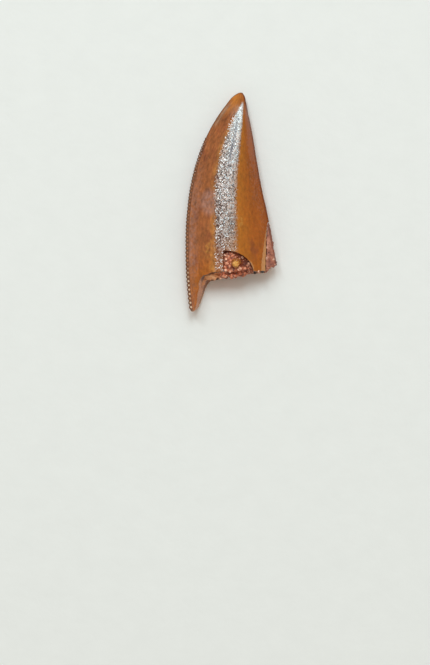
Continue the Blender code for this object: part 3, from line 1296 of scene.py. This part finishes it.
    def _wrinkles(self, board: Board, crest: Wire) -> Wire:
        """Tilts the normal by little facets, a little longer than wide, so that it glitters.

        Args:
            board: The finish's board.
            crest: The crest's mask. The facets tilt twice as far there.

        Returns:
            The normal.
        """
        tilt = board.mix(self._facets(board), board.noise(board.place, 3.0, 1.0, output=1), 0.08)
        amount = (board.y.step(2.5, 9.0) * -0.20 + self.wrinkle) * (crest * 0.5 + 0.5)
        tilted = board.shade(board.vector("SUBTRACT", tilt, (0.5, 0.5, 0.5)), amount)
        summed = board.vector("ADD", board.add("NewGeometry", {}, "Normal"), tilted)
        normal = board.vector("NORMALIZE", summed)
        return board.bump(board.noise(board.place, 2.2, 3.0), 0.009, 0.6, normal)


@dataclass(frozen=True)
class Dentine:
    """Broken dentine: matt, pinkish tan, with a thin pale rim where the enamel is cut through.

    Attributes:
        tone: Its lighter colour.
        shadow_tone: Its darker colour.
        rim: The cut enamel's colour.
        rim_depth: How thick the enamel is.
        dark_line: The dark line in the dentine under the enamel at the root end, also laid as painted shade
            along the spur's low outer edge.
    """

    tone: Colour = (0.88, 0.42, 0.24)
    shadow_tone: Colour = (0.34, 0.115, 0.060)
    rim: Colour = (0.62, 0.30, 0.10)
    rim_depth: float = 0.14
    dark_line: Colour = (0.13, 0.040, 0.018)

    def make(self) -> bpy.types.Material:
        """Builds the material.

        Returns:
            The dentine.
        """
        board = Board("dentine")
        layers = board.noise(board.stretch(board.place, (2.0, 0.6, 2.0)), 1.3, 4.0)
        grit = board.noise(board.place, 5.0, 3.0)
        colour = board.mix(self.shadow_tone, self.tone, (layers * 0.6 + grit * 0.55).step(0.30, 0.80))
        under = board.y.step(-9.75, -9.35) * board.x.step(-3.75, -3.45) * board.x.step(4.6, 4.0)
        colour = board.mix(colour, self.dark_line, under * 0.85)
        # Painted shade: darker along the spur's low outer edge, near the table.
        low = (board.z + (grit - 0.5) * 1.6).step(1.9, 0.7) * board.x.step(-2.3, -2.9)
        colour = board.mix(colour, self.dark_line, low * 0.8)
        # Painted shadow in the two hollows under the enamel's edge.
        colour = paint_hollow_shadows(board, colour)
        depth = board.kept("depth")
        rim = depth.step(self.rim_depth, self.rim_depth * 0.7) * (1.0 - under)
        colour = board.mix(colour, self.rim, rim * 0.8)
        return board.finish(
            Base_Color=colour,
            Roughness=0.45 + grit * 0.25,
            Normal=board.bump(grit + layers, 0.05, 0.7),
        )


@dataclass(frozen=True)
class RedSandstone:
    """Red sandstone: a dark fine cement with grains of several tones.

    Attributes:
        tones: The grains' colours, from the darkest to the palest.
        cement: The colour between them.
        chip_tone: The pinkish tone that it has in the chip.
        tan: The colour of its bleached part, near the front.
        tan_edge: The x where that part starts.
    """

    tones: tuple[Colour, ...] = (
        (0.16, 0.028, 0.012),
        (0.42, 0.105, 0.045),
        (0.68, 0.250, 0.140),
        (0.95, 0.560, 0.390),
    )
    cement: Colour = (0.10, 0.020, 0.010)
    chip_tone: Colour = (0.54, 0.24, 0.20)
    tan: Colour = (0.94, 0.41, 0.175)
    tan_edge: float = -1.45

    def make(self) -> bpy.types.Material:
        """Builds the material.

        Returns:
            The sandstone.
        """
        board = Board("red_sandstone")
        tone = board.kept("tone")
        grit = board.noise(board.place, 4.0, 3.0)
        own = board.red(board.cells(board.place, 3.4, "Color"))
        patches = board.noise(board.place, 1.0, 2.0)
        opened = board.z.step(3.3, 3.9) * board.x.step(2.9, 2.5)
        chipped = board.x.step(4.0, 4.4)
        large = (patches - 0.5) * (0.5 + chipped * 1.4)
        shade = tone * 0.72 + own * (0.22 - chipped * 0.12) + grit * 0.30 + large - 0.13
        colour = board.ramp(shade, list(zip((0.05, 0.34, 0.66, 0.98), self.tones)))
        gaps = board.cells(board.place, 3.4).step(0.42, 0.70)
        colour = board.mix(colour, self.cement, gaps * (opened * 0.25 - chipped * 0.25 + 0.5))
        colour = board.shade(colour, opened * (board.x.step(1.2, 0.0) * 0.16 + 0.40) + 1.05)
        colour = board.mix(colour, self.chip_tone, chipped * 0.22)
        tan = (board.x + (grit - 0.5) * 0.5).step(self.tan_edge + 0.2, self.tan_edge - 0.15)
        colour = board.mix(colour, board.shade(self.tan, 0.54 + grit * 0.73), tan * 0.9)
        # Painted shade: a dark line along the sandstone's outer edge in the chip.
        rim = (board.x + board.y * 0.205).step(3.72, 3.86) * chipped
        colour = board.mix(colour, self.cement, rim * (patches.step(0.35, 0.60) * 0.5 + 0.25))
        # Painted shadow in the two hollows under the enamel's edge.
        colour = paint_hollow_shadows(board, colour)
        return board.finish(
            Base_Color=colour,
            Roughness=0.42 + grit * 0.35,
            Normal=board.bump(grit - gaps * 0.5, 0.05, 0.8),
        )


@dataclass(frozen=True)
class AmberQuartz:
    """One large yellow quartz grain, bright in its middle and orange round its rim.

    Attributes:
        heart: The colour of its middle.
        rim: The colour of its rim.
        middle: Its middle, seen from above.
        radius: Its radius.
    """

    heart: Colour = (1.0, 0.50, 0.12)
    rim: Colour = (0.38, 0.095, 0.010)
    middle: Place = (0.55, -7.52)
    radius: float = 0.50

    def make(self) -> bpy.types.Material:
        """Builds the material.

        Returns:
            The quartz.
        """
        board = Board("amber_quartz")
        heart = board.spot(*self.middle, self.radius, self.radius, 0.85)
        grit = board.noise(board.place, 4.5, 3.0)
        colour = board.mix(self.rim, self.heart, heart * 0.8 + (grit - 0.5) * 0.7)
        return board.finish(
            Base_Color=colour,
            Roughness=0.24 + grit * 0.2,
            Normal=board.bump(grit, 0.05, 0.6),
            Subsurface_Weight=0.25,
            Subsurface_Radius=(1.0, 0.6, 0.25),
            Subsurface_Scale=0.3 * MM,
        )


@dataclass(frozen=True)
class PaleTable:
    """The plain pale surface under the tooth.

    Attributes:
        tone: Its colour.
    """

    tone: Colour = (0.940, 0.862, 0.820)

    def make(self) -> bpy.types.Material:
        """Builds the material.

        Returns:
            The surface.
        """
        board = Board("pale_table")
        fleck = board.noise(board.place, 0.35, 5.0)
        colour = board.shade(self.tone, 0.975 + fleck * 0.05)
        return board.finish(
            Base_Color=colour,
            Roughness=0.85,
            Normal=board.bump(board.noise(board.place, 0.8, 4.0), 0.12, 0.35),
        )


# The tooth


@dataclass
class DenticleRow:
    """The row of denticles down the front keel, finer towards the tip.

    Attributes:
        form: The blade's form.
        top_y: Where the row starts.
        foot_y: Where it ends.
        pitch_top: The pitch where it starts.
        pitch_foot: The pitch where it ends.
        reaches: One denticle's half sizes, as shares of the pitch.
        sink: How far its middle is inside the keel, as a share of the pitch.
    """

    form: BladeForm
    top_y: float = 7.6
    foot_y: float = -12.75
    pitch_top: float = 0.34
    pitch_foot: float = 0.54
    reaches: tuple[float, float, float] = (0.46, 0.42, 0.48)
    sink: float = 0.31

    @property
    def widening(self) -> float:
        """How much the pitch grows for each millimetre down the row."""
        return (self.pitch_foot - self.pitch_top) / (self.top_y - self.foot_y)

    def pitch(self, y: float) -> float:
        """The pitch at a height."""
        return self.pitch_top + self.widening * (self.top_y - y)

    def places(self) -> list[float]:
        """The height of every denticle."""
        count = int(math.log(self.pitch_foot / self.pitch_top) / self.widening)
        return [
            self.top_y - self.pitch_top * (math.exp(self.widening * n) - 1.0) / self.widening
            for n in range(count + 1)
        ]

    def one(self) -> Piece:
        """Models one denticle of unit pitch at the origin: a rounded block that narrows outwards.

        Returns:
            The denticle.
        """
        piece = Bench.start("denticle", bpy.ops.mesh.primitive_cube_add, size=2.0, scale=self.reaches)
        with Bench.editing(piece):
            Bench.pick(piece, lambda p: p.x < 0.0)
            bpy.ops.transform.resize(value=(1.0, 0.84, 0.62), center_override=(0.0, 0.0, 0.0))
            Bench.pick_all()
            bpy.ops.mesh.bevel(offset=0.26, segments=3, affect="EDGES")
        return piece

    def build(self) -> Piece:
        """Copies the denticle down the keel.

        Returns:
            The whole row as one tool.
        """
        pattern = self.one()
        row = []
        for n, y in enumerate(self.places()):
            pitch = self.pitch(y)
            keel = self.form.front_keel
            run = math.atan2(keel.at(y + pitch) - keel.at(y - pitch), 2 * pitch)
            denticle = Bench.copy(pattern, f"denticle_{n}")
            denticle.scale = (pitch, pitch, pitch)
            denticle.rotation_euler = (0.0, 0.0, -run)
            denticle.location = (keel.at(y) + self.sink * pitch, y, self.form.keel_height.at(y))
            Bench.fix_place(denticle)
            row.append(denticle)
        bpy.data.objects.remove(pattern)
        return Bench.gather(row)


@dataclass
class Crown:
    """The crown: enamel over dentine, hollow, broken and chipped.

    Attributes:
        form: The blade's form.
        fracture: The break across the root end.
        cavity: How far the pulp cavity is drawn in.
        window_middle: The middle of the round that the window follows.
        window_reach: Its radii.
        window_left: The straight crack that bounds it on the left.
        window_floor: How deep it is cut.
        chip_edge: The x of the wall that the chip leaves, by y.
        chip_wall: The x from which the chip's tool is stretched to that wall.
        chip_outside: The x where the tool ends, outside the crown.
        chip_top_y: Where the chip ends towards the tip.
        chip_foot_y: Where its tool ends below the break.
        chip_floor: The z of its floor at the wall.
        chip_rise: How much the floor rises for each millimetre out.
        nicks: The small chips of the rear keel and of the broken edge.
    """

    form: BladeForm
    fracture: Fracture
    cavity: Inset = Inset(front=1.6, rear=0.8, face=0.8, top_y=3.4, taper=7.0)
    window_middle: Place = WINDOW_MIDDLE
    window_reach: Place = WINDOW_REACH
    window_left: float = -0.96
    window_floor: float = 2.6
    chip_edge: Course = Course((
        (-2.50, 4.44), (-3.40, 4.28), (-5.20, 4.20), (-6.60, 4.18), (-7.60, 4.12), (-9.50, 4.22)
    ))
    chip_wall: float = 4.2
    chip_outside: float = 8.0
    chip_top_y: float = -2.5
    chip_foot_y: float = -9.5
    chip_floor: float = 1.7
    chip_rise: float = 0.42
    nicks: tuple[Lump, ...] = (
        ((2.26, 10.09, 1.50), (0.10, 0.16, 0.30)),
        ((2.56, 8.64, 1.58), (0.10, 0.14, 0.30)),
        ((2.78, 7.80, 1.63), (0.10, 0.20, 0.30)),
        ((2.89, -8.52, 4.10), (0.26, 0.17, 0.60)),
        ((3.80, -8.48, 3.60), (0.20, 0.15, 0.60)),
    )

    def blade(self) -> Piece:
        """Grows the whole blade, faintly uneven, with its small worn flat underneath.

        Returns:
            The blade.
        """
        piece = self.form.grow("crown", self.form.heights(44), sides=36)
        Bench.smooth(piece, levels=2)
        Bench.roughen(piece, Relief.BILLOWS, size=1.5, amount=0.05)
        Bench.roughen(piece, Relief.BILLOWS, size=0.5, amount=0.02)
        with Bench.editing(piece):
            Bench.slice_off((0.0, 0.0, 0.0), (0.0, 0.0, 1.0))
            Bench.face_out()
        return piece

    def pulp_cavity(self) -> Piece:
        """Grows the pulp cavity as a tool.

        Returns:
            The tool.
        """
        heights = [3.38] + spaced(3.0, self.form.foot_y - 0.6, 14, 1.1)
        piece = self.form.grow("pulp_cavity", heights, sides=24, inset=self.cavity)
        Bench.smooth(piece, levels=1)
        return piece

    def window(self) -> Piece:
        """Shapes the tool that opens the window: a round block with one straight side.

        Returns:
            The tool.
        """
        top, floor = TOOL_TOP, self.window_floor
        piece = Bench.start(
            "window_tool",
            bpy.ops.mesh.primitive_cylinder_add,
            vertices=72,
            radius=1.0,
            depth=top - floor,
            location=(*self.window_middle, (top + floor) / 2),
            scale=(*self.window_reach, 1.0),
        )
        with Bench.editing(piece):
            Bench.slice_off((self.window_left, 0.0, 0.0), (1.0, 0.0, 0.0))
            Bench.pick_edges(piece, lambda a, b: abs(a.z - b.z) > 1.0)
            bpy.ops.mesh.subdivide(number_cuts=14)
            Bench.face_out()
        Bench.roughen(piece, Relief.BILLOWS, size=0.45, amount=0.12)
        return piece

    def chip(self, inset: float = 0.0) -> Piece:
        """Shapes the tool that takes the chip out of the rear keel.

        Args:
            inset: How far the tool is drawn in from the walls that it leaves.

        Returns:
            The tool.
        """
        x0, x1, top, floor = self.chip_wall + inset, self.chip_outside, TOOL_TOP, self.chip_floor + inset
        steps = 32

        def share(place: Vector) -> float:
            """How far out a place is, as a share of the tool's width there."""
            return 1.0 - (x1 - place.x) / (x1 - self.chip_edge.at(place.y) - inset)

        piece = Bench.start(
            "chip_tool",
            bpy.ops.mesh.primitive_cube_add,
            size=1.0,
            location=((x0 + x1) / 2, (self.chip_top_y + self.chip_foot_y) / 2, (floor + top) / 2),
            scale=(x1 - x0, self.chip_top_y - self.chip_foot_y, top - floor),
        )
        with Bench.editing(piece):
            Bench.pick_all()
            bpy.ops.mesh.subdivide(number_cuts=steps - 1)
            for y in spaced(self.chip_top_y, self.chip_foot_y, steps + 1):
                width = x1 - self.chip_edge.at(y) - inset
                Bench.pick(piece, lambda p: abs(p.y - y) < NEAR)
                bpy.ops.transform.resize(value=(width / (x1 - x0), 1.0, 1.0), center_override=(x1, y, top))
            for n in range(steps + 1):
                x = x0 + (x1 - x0) * n / steps
                height = (top - floor - self.chip_rise * (x - x0)) / (top - floor)
                Bench.pick(piece, lambda p: abs(share(p) - n / steps) < 0.01)
                bpy.ops.transform.resize(value=(1.0, 1.0, height), center_override=(x, 0.0, top))
        Bench.roughen(piece, Relief.BILLOWS, size=0.5, amount=0.14)
        return piece

    def build(self) -> Piece:
        """Grows the crown, sets the denticles and breaks it.

        Returns:
            The crown in the frame's metres.
        """
        denticles = DenticleRow(self.form)
        enamel, dentine = Enamel().make(denticles), Dentine().make()
        piece = self.blade()
        skin = BVHTree.FromObject(piece, bpy.context.evaluated_depsgraph_get())
        piece.data.materials.append(enamel)
        row = denticles.build()
        row.data.materials.append(enamel)
        Bench.bring(row, piece, Join.ADD)
        tools = (
            self.pulp_cavity(),
            self.fracture.block("break_tool", columns=190, rows=56, coarse=0.20, fine=0.07),
            self.window(),
            self.chip(),
            *(ball(f"nick_{n}", middle, reach) for n, (middle, reach) in enumerate(self.nicks)),
        )
        for tool in tools:
            tool.data.materials.append(dentine)
            Bench.bring(tool, piece, Join.CUT)
        points = [v.co for v in piece.data.vertices]
        Bench.note(piece, "across", [self.form.across(p) for p in points])
        Bench.note(piece, "from_front", [self.form.from_front(p) for p in points])
        Bench.note(piece, "from_rear", [self.form.from_rear(p) for p in points])
        Bench.note(piece, "from_chip", [self.chip_edge.at(p.y) - p.x for p in points])
        Bench.note(piece, "depth", [skin.find_nearest(p)[3] for p in points])
        return Bench.settle(piece)


@dataclass(frozen=True)
class Spread:
    """Where loose grains are scattered: a patch of the sandstone that rays can reach.

    Attributes:
        towards: The way the rays go: down, or towards the tip.
        start: The fixed coordinate that they start from.
        first: The range of the first free coordinate.
        second: The range of the second one.
        pitch: How far apart the grains are.
        radii: The smallest and the largest grain.
        accepts: Which places take a grain.
    """

    towards: Vector
    start: float
    first: Place
    second: Place
    pitch: float
    radii: Place
    accepts: Test

    def rank(self, low: float, high: float) -> list[float]:
        """The places of the rays along one free coordinate."""
        return spaced(low, high, round((high - low) / self.pitch))

    def origin(self, first: float, second: float) -> Vector:
        """Where a ray starts."""
        down = self.towards.z != 0.0
        return Vector((first, second, self.start) if down else (first, self.start, second))


@dataclass
class Sandstone:
    """The sandstone: the fill of the cavity, rough and grainy wherever it is bared.

    Attributes:
        crown: The crown that it fills.
        seam: The gap between it and the dentine.
        voxel: The size of the mesh that it is worked in.
        lumps: Larger lumps in the window, as (x, y, z) and radii.
        pits: Hollows, in the same way.
        ledges: The lumps that stand out of the break, in the same way.
        named_grains: The larger grains in the window and one on the break, a pale grain that stands for a
            painted glint, as x, y, radius and tone.
        loose_tones: The tones that loose grains have.
        seed: The seed of the loose grains.
    """

    crown: Crown
    seam: float = 0.05
    voxel: float = 0.085
    lumps: tuple[Lump, ...] = (
        ((-0.20, -7.40, 4.00), (1.10, 1.40, 0.56)),
        ((0.75, -7.75, 3.92), (1.20, 0.95, 0.54)),
    )
    pits: tuple[Lump, ...] = (
        ((1.75, -7.20, 4.20), (0.75, 0.55, 0.80)),
        ((1.15, -7.72, 4.45), (0.42, 0.20, 0.60)),
        ((0.30, -8.05, 4.60), (0.30, 0.12, 0.45)),
        ((2.89, -8.60, 3.90), (0.32, 0.26, 0.70)),
        ((3.80, -8.50, 3.50), (0.24, 0.22, 0.60)),
    )
    ledges: tuple[Lump, ...] = (
        ((-2.45, -8.95, 3.20), (0.92, 0.42, 0.75)),
        ((-0.95, -8.92, 3.30), (0.62, 0.30, 0.60)),
        ((0.28, -8.95, 3.50), (0.50, 0.26, 0.50)),
        ((1.35, -8.72, 3.60), (0.60, 0.22, 0.50)),
        ((3.27, -8.42, 3.75), (0.17, 0.20, 0.25)),
        ((5.28, -7.56, 2.24), (0.26, 0.17, 0.36)),
    )
    named_grains: tuple[tuple[float, float, float, float], ...] = (
        (-0.74, -6.50, 0.19, 1.00),
        (-0.33, -6.66, 0.23, 0.62),
        (0.12, -6.45, 0.22, 0.45),
        (0.72, -6.62, 0.20, 0.30),
        (1.37, -6.74, 0.20, 1.00),
        (2.08, -7.48, 0.25, 1.00),
        (1.02, -8.14, 0.34, 0.82),
        (1.63, -8.08, 0.25, 0.66),
        (0.42, -8.50, 0.28, 0.62),
        (0.12, -8.20, 0.17, 0.98),
        (-0.66, -8.30, 0.22, 0.86),
        (-0.13, -8.46, 0.19, 0.92),
        (2.13, -8.22, 0.24, 0.52),
        (-0.53, -7.48, 0.28, 0.76),
        (-0.60, -6.98, 0.24, 0.72),
        (-0.24, -7.88, 0.25, 0.74),
        (-0.03, -7.13, 0.20, 0.50),
        (0.28, -6.86, 0.17, 0.70),
        (1.02, -6.88, 0.15, 0.85),
        (1.72, -6.98, 0.17, 0.55),
        (1.95, -7.80, 0.18, 0.72),
        (1.40, -8.42, 0.20, 0.58),
        (0.02, -7.52, 0.17, 0.88),
        # A pale grain that stands for a painted glint between the two hollows.
        (3.27, -8.50, 0.13, 1.00),
        (-0.76, -7.90, 0.17, 0.60),
        (2.38, -8.02, 0.15, 0.80),
    )
    loose_tones: tuple[float, ...] = (0.2, 0.4, 0.55, 0.7, 0.85, 1.0)
    seed: int = 11

    def core(self) -> Piece:
        """Grows the fill of the cavity, with its lumps and pits, and roughens it.

        Returns:
            The core.
        """
        cavity, seam = self.crown.cavity, self.seam
        inset = Inset(
            cavity.front + seam, cavity.rear + seam, cavity.face + seam, cavity.top_y - seam, cavity.taper
        )
        heights = [inset.top_y - 0.02] + spaced(inset.top_y - 0.4, -10.8, 22)
        core = self.crown.form.grow("sandstone", heights, 28, inset)
        Bench.smooth(core, levels=1)
        for middle, reach in self.lumps:
            Bench.bring(ball("lump", middle, reach), core, Join.ADD)
        Bench.bring(self._edge(), core, Join.ADD)
        for middle, reach in self.pits:
            Bench.bring(ball("pit", middle, reach), core, Join.CUT)
        Bench.apply(core, "REMESH", mode="VOXEL", voxel_size=self.voxel)
        Bench.roughen(core, Relief.BILLOWS, size=0.55, amount=0.16)
        bared = self.crown.fracture.block("bared_tool", columns=150, rows=50, coarse=0.20, fine=0.10)
        Bench.bring(bared, core, Join.CUT)
        for middle, reach in self.ledges:
            Bench.bring(ball("ledge", middle, reach), core, Join.ADD)
        Bench.apply(core, "REMESH", mode="VOXEL", voxel_size=self.voxel)
        Bench.roughen(core, Relief.CELLS, size=0.34, amount=-0.10)
        return core

    def _edge(self) -> Piece:
        """Grows the sandstone that the chip bares, in the place of the rear keel.

        Returns:
            The sandstone there.
        """
        inset = Inset(front=self.seam, rear=-0.10, face=0.24)
        edge = self.crown.form.grow("bared_edge", spaced(-2.3, -9.6, 20), sides=28, inset=inset)
        Bench.smooth(edge, levels=1)
        Bench.roughen(edge, Relief.BILLOWS, size=0.5, amount=0.12)
        Bench.bring(self.crown.chip(self.seam), edge, Join.KEEP)
        return edge

    def spreads(self) -> tuple[Spread, ...]:
        """Lists the patches where grains lie.

        Returns:
            The window, the break and the chip.
        """
        mid, reach = self.crown.window_middle, self.crown.window_reach

        def in_window(p: Vector) -> bool:
            """Whether a place is on the floor of the window."""
            ring = ((p.x - mid[0]) / reach[0]) ** 2 + ((p.y - mid[1]) / reach[1]) ** 2
            return ring < 0.93 and p.x > self.crown.window_left + 0.06 and p.z > 3.2

        def on_break(p: Vector) -> bool:
            """Whether a place is on the break."""
            return p.y > -11.0

        def on_chip(p: Vector) -> bool:
            """Whether a place is on the floor of the chip."""
            return p.z > 1.9

        return (
            Spread(DOWN, RAY_TOP, (-0.9, 2.7), (-9.3, -6.0), 0.38, (0.08, 0.15), in_window),
            Spread(TIPWARDS, RAY_FOOT, (-3.6, 5.2), (0.7, 4.4), 0.40, (0.15, 0.28), on_break),
            Spread(DOWN, RAY_TOP, (4.4, 5.3), (-8.0, -3.2), 0.36, (0.10, 0.19), on_chip),
        )

    def patterns(self, rng: random.Random) -> list[Piece]:
        """Models a few different grains: faceted rounded pebbles of unit radius.

        Args:
            rng: The source of their differences.

        Returns:
            The patterns.
        """
        made = []
        for n in range(5):
            stretch = Vector((rng.uniform(0.85, 1.2), rng.uniform(0.8, 1.1), rng.uniform(0.7, 1.0)))
            piece = Bench.start(
                f"pattern_{n}",
                bpy.ops.mesh.primitive_ico_sphere_add,
                subdivisions=2,
                radius=1.0,
                rotation=(rng.uniform(0, 3), rng.uniform(0, 3), 0.0),
                scale=stretch,
            )
            with Bench.editing(piece):
                for _ in range(5):
                    facing = Vector((rng.gauss(0, 1), rng.gauss(0, 1), rng.gauss(0, 1))).normalized()
                    Bench.slice_off(facing * rng.uniform(0.68, 0.85), facing, front=True)
            made.append(piece)
        return made

    def grains(self, core: Piece) -> list[Piece]:
        """Scatters grains half sunk in the bared sandstone.

        Args:
            core: The core that carries them.

        Returns:
            The grains.
        """
        rng = random.Random(self.seed)
        patterns = self.patterns(rng)
        ground = BVHTree.FromObject(core, bpy.context.evaluated_depsgraph_get())
        made: list[Piece] = []

        def lay(origin: Vector, towards: Vector, radius: float, tone: float, accepts: Test) -> None:
            """Lays one grain where a ray meets the core.

            Args:
                origin: Where the ray starts.
                towards: The way it goes.
                radius: The grain's radius.
                tone: Its tone.
                accepts: The places that take a grain.
            """
            turn = [rng.uniform(0, 6.28) for _ in range(3)]
            place, normal, _, _ = ground.ray_cast(origin, towards)
            if place is None or not accepts(place):
                return
            grain = Bench.copy(patterns[len(made) % len(patterns)], f"grain_{len(made)}")
            grain.scale = (radius,) * 3
            grain.rotation_euler = turn
            grain.location = place - normal * radius * 0.2
            Bench.fix_place(grain)
            Bench.note(grain, "tone", [tone] * len(grain.data.vertices))
            made.append(grain)

        for x, y, radius, tone in self.named_grains:
            lay(Vector((x, y, RAY_TOP)), DOWN, radius, tone, lambda p: p.z > 2.5)
        for spread in self.spreads():
            for first in spread.rank(*spread.first):
                for second in spread.rank(*spread.second):
                    jitter = [rng.uniform(-0.5, 0.5) * spread.pitch for _ in range(2)]
                    radius, tone = rng.uniform(*spread.radii), rng.choice(self.loose_tones)
                    origin = spread.origin(first + jitter[0], second + jitter[1])
                    lay(origin, spread.towards, radius, tone, spread.accepts)
        for pattern in patterns:
            bpy.data.objects.remove(pattern)
        return made

    @staticmethod
    def _core_tone(place: Vector) -> float:
        """The core's tone: dark in the window, darkest under the enamel's edge at the root end as painted
        shade, palest at one spot there as a painted glint, lighter elsewhere.

        Args:
            place: The place.

        Returns:
            The tone, from 0 to 1.
        """
        if place.x < 2.9 and place.z > 3.3 and place.y > -8.45:
            return 0.12
        # Painted glint: the palest tone at one spot between the two hollows.
        if abs(place.x - 3.27) < 0.16 and place.z > 3.3:
            return 1.0
        # Painted shade: the darkest tone under the enamel's edge at the root end.
        return 0.0 if 2.5 < place.x < 4.15 and place.z > 2.6 else 0.55

    def build(self) -> Piece:
        """Makes the sandstone with its grains.

        Returns:
            The sandstone in the frame's metres.
        """
        core = self.core()
        Bench.note(core, "tone", [self._core_tone(v.co) for v in core.data.vertices])
        grains = self.grains(core)
        core.data.materials.clear()
        piece = Bench.gather([core, *grains])
        piece.data.materials.append(RedSandstone().make())
        LOG.info("%d grains in the sandstone", len(grains))
        return Bench.settle(piece, 50.0)


@dataclass
class AmberGrain:
    """The one large yellow grain in the window.

    Attributes:
        middle: Its middle.
        reach: Its radii.
    """

    middle: Spot = (0.56, -7.40, 4.52)
    reach: Spot = (0.57, 0.60, 0.42)

    def build(self) -> Piece:
        """Models the grain: a ball with broad bumps and small facets.

        Returns:
            The grain in the frame's metres.
        """
        piece = Bench.start(
            "amber_grain",
            bpy.ops.mesh.primitive_ico_sphere_add,
            subdivisions=5,
            radius=1.0,
            location=self.middle,
            scale=self.reach,
        )
        Bench.roughen(piece, Relief.BILLOWS, size=0.30, amount=0.40)
        Bench.roughen(piece, Relief.CELLS, size=0.26, amount=-0.22)
        piece.data.materials.append(AmberQuartz().make())
        return Bench.settle(piece)


# The studio


@dataclass(frozen=True)
class PhotoFrame:
    """The photograph's frame, looking straight down.

    Attributes:
        size_px: Its width and height.
        px_per_mm: Its scale on the tooth.
        origin_px: The pixel of the frame's origin.
        focus_z: The height at which the scale holds.
        distance: How far above it the camera is, in millimetres.
        sensor: The camera's sensor along the long side.
    """

    size_px: tuple[int, int] = (430, 665)
    px_per_mm: float = 8.3
    origin_px: Place = (231.0, 201.75)
    focus_z: float = 2.0
    distance: float = 500.0
    sensor: float = 36.0

    def build(self) -> Piece:
        """Adds the camera over the middle of the frame.

        Returns:
            The camera.
        """
        width, height = self.size_px
        x = (width / 2 - self.origin_px[0]) / self.px_per_mm
        y = (self.origin_px[1] - height / 2) / self.px_per_mm
        Bench.clear()
        bpy.ops.object.camera_add(location=(x * MM, y * MM, (self.focus_z + self.distance) * MM))
        camera = bpy.context.active_object
        camera.name = "camera_above"
        camera.data.sensor_width = self.sensor
        camera.data.lens = self.sensor * self.distance * self.px_per_mm / height
        camera.data.clip_start = 0.01
        bpy.context.scene.camera = camera
        return camera


@dataclass(frozen=True)
class SoftLight:
    """A soft rectangular light, placed by the angles at which the tooth sees it.

    Attributes:
        name: Its name.
        up: How far it is tilted from straight above towards the tip, in degrees.
        side: How far it is tilted towards the rear keel, in degrees.
        width: How wide it looks, in degrees.
        length: How long it looks, in degrees.
        radiance: How bright it is.
        colour: Its colour.
        distance: How far away it is, in metres.
    """

    name: str
    up: float
    side: float
    width: float
    length: float
    radiance: float
    colour: Colour = (1.0, 1.0, 1.0)
    distance: float = 0.7

    def build(self) -> Piece:
        """Adds the light.

        Returns:
            The light.
        """
        up, side = math.radians(self.up), math.radians(self.side)
        away = Vector((math.sin(side), math.cos(side) * math.sin(up), math.cos(side) * math.cos(up)))
        Bench.clear()
        bpy.ops.object.light_add(type="AREA", location=away * self.distance)
        light = bpy.context.active_object
        light.name = self.name
        light.rotation_euler = (-away).to_track_quat("-Z", "Y").to_euler()
        light.data.shape = "RECTANGLE"
        light.data.size = 2 * self.distance * math.tan(math.radians(self.width / 2))
        light.data.size_y = 2 * self.distance * math.tan(math.radians(self.length / 2))
        light.data.energy = self.radiance * math.pi * light.data.size * light.data.size_y
        light.data.color = self.colour
        return light


@dataclass(frozen=True)
class Studio:
    """The pale table, the lights and the room's even light.

    Attributes:
        lights: The lights.
        room: The colour of the even light.
        room_strength: How bright it is.
        table_size: The table's side, in metres.
        table_gap: How far it is below the tooth, in millimetres.
    """

    lights: tuple[SoftLight, ...] = (
        SoftLight("left_strip", 25.5, -13.5, 6.4, 23.0, 16.5, DAYLIGHT),
        SoftLight("right_strip", 25.5, 1.0, 7.0, 23.0, 15.0, DAYLIGHT),
        SoftLight("right_wing", 25.5, 9.5, 10.0, 23.0, 5.5, DAYLIGHT),
        SoftLight("between", 24.0, -6.5, 8.0, 24.0, 1.2, (0.66, 0.80, 1.0)),
        SoftLight("low_strips", 6.0, 0.0, 24.0, 12.0, 1.3, (0.70, 0.86, 1.0)),
        SoftLight("far_window", 52.0, 0.0, 60.0, 24.0, 0.60, (0.78, 0.94, 1.0)),
    )
    room: Colour = (0.98, 0.94, 0.81)
    room_strength: float = 0.41
    table_size: float = 4.0
    table_gap: float = 0.02

    def build(self) -> None:
        """Adds the table and the lights, and sets how the picture is developed."""
        for light in self.lights:
            light.build()
        table = Bench.start(
            "pale_table",
            bpy.ops.mesh.primitive_plane_add,
            size=self.table_size,
            location=(0.0, 0.0, -self.table_gap * MM),
        )
        table.data.materials.append(PaleTable().make())
        world = bpy.data.worlds.new("room")
        world.use_nodes = True
        background = world.node_tree.nodes["Background"]
        background.inputs["Color"].default_value = (*self.room, 1.0)
        background.inputs["Strength"].default_value = self.room_strength
        bpy.context.scene.world = world
        bpy.context.scene.view_settings.view_transform = "Standard"


def hand_over(piece: Piece, nodes: tuple[str, ...] = ()) -> None:
    """Gives a finished piece to the frame, and reports it.

    Args:
        piece: The piece.
        nodes: The CAD nodes that it stands for.
    """
    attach(piece, "root")
    if nodes:
        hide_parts(*nodes)
    LOG.info("%s: %d faces", piece.name, len(piece.data.polygons))


def main() -> None:
    """Builds the studio and the tooth."""
    logging.basicConfig(level=logging.INFO, format="%(name)s: %(message)s")
    PhotoFrame().build()
    Studio().build()
    crown = Crown(BladeForm(), Fracture())
    hand_over(crown.build(), ("tooth_crown",))
    hand_over(Sandstone(crown).build(), ("sandstone_fill",))
    hand_over(AmberGrain().build())


if __name__ == "__main__":
    main()
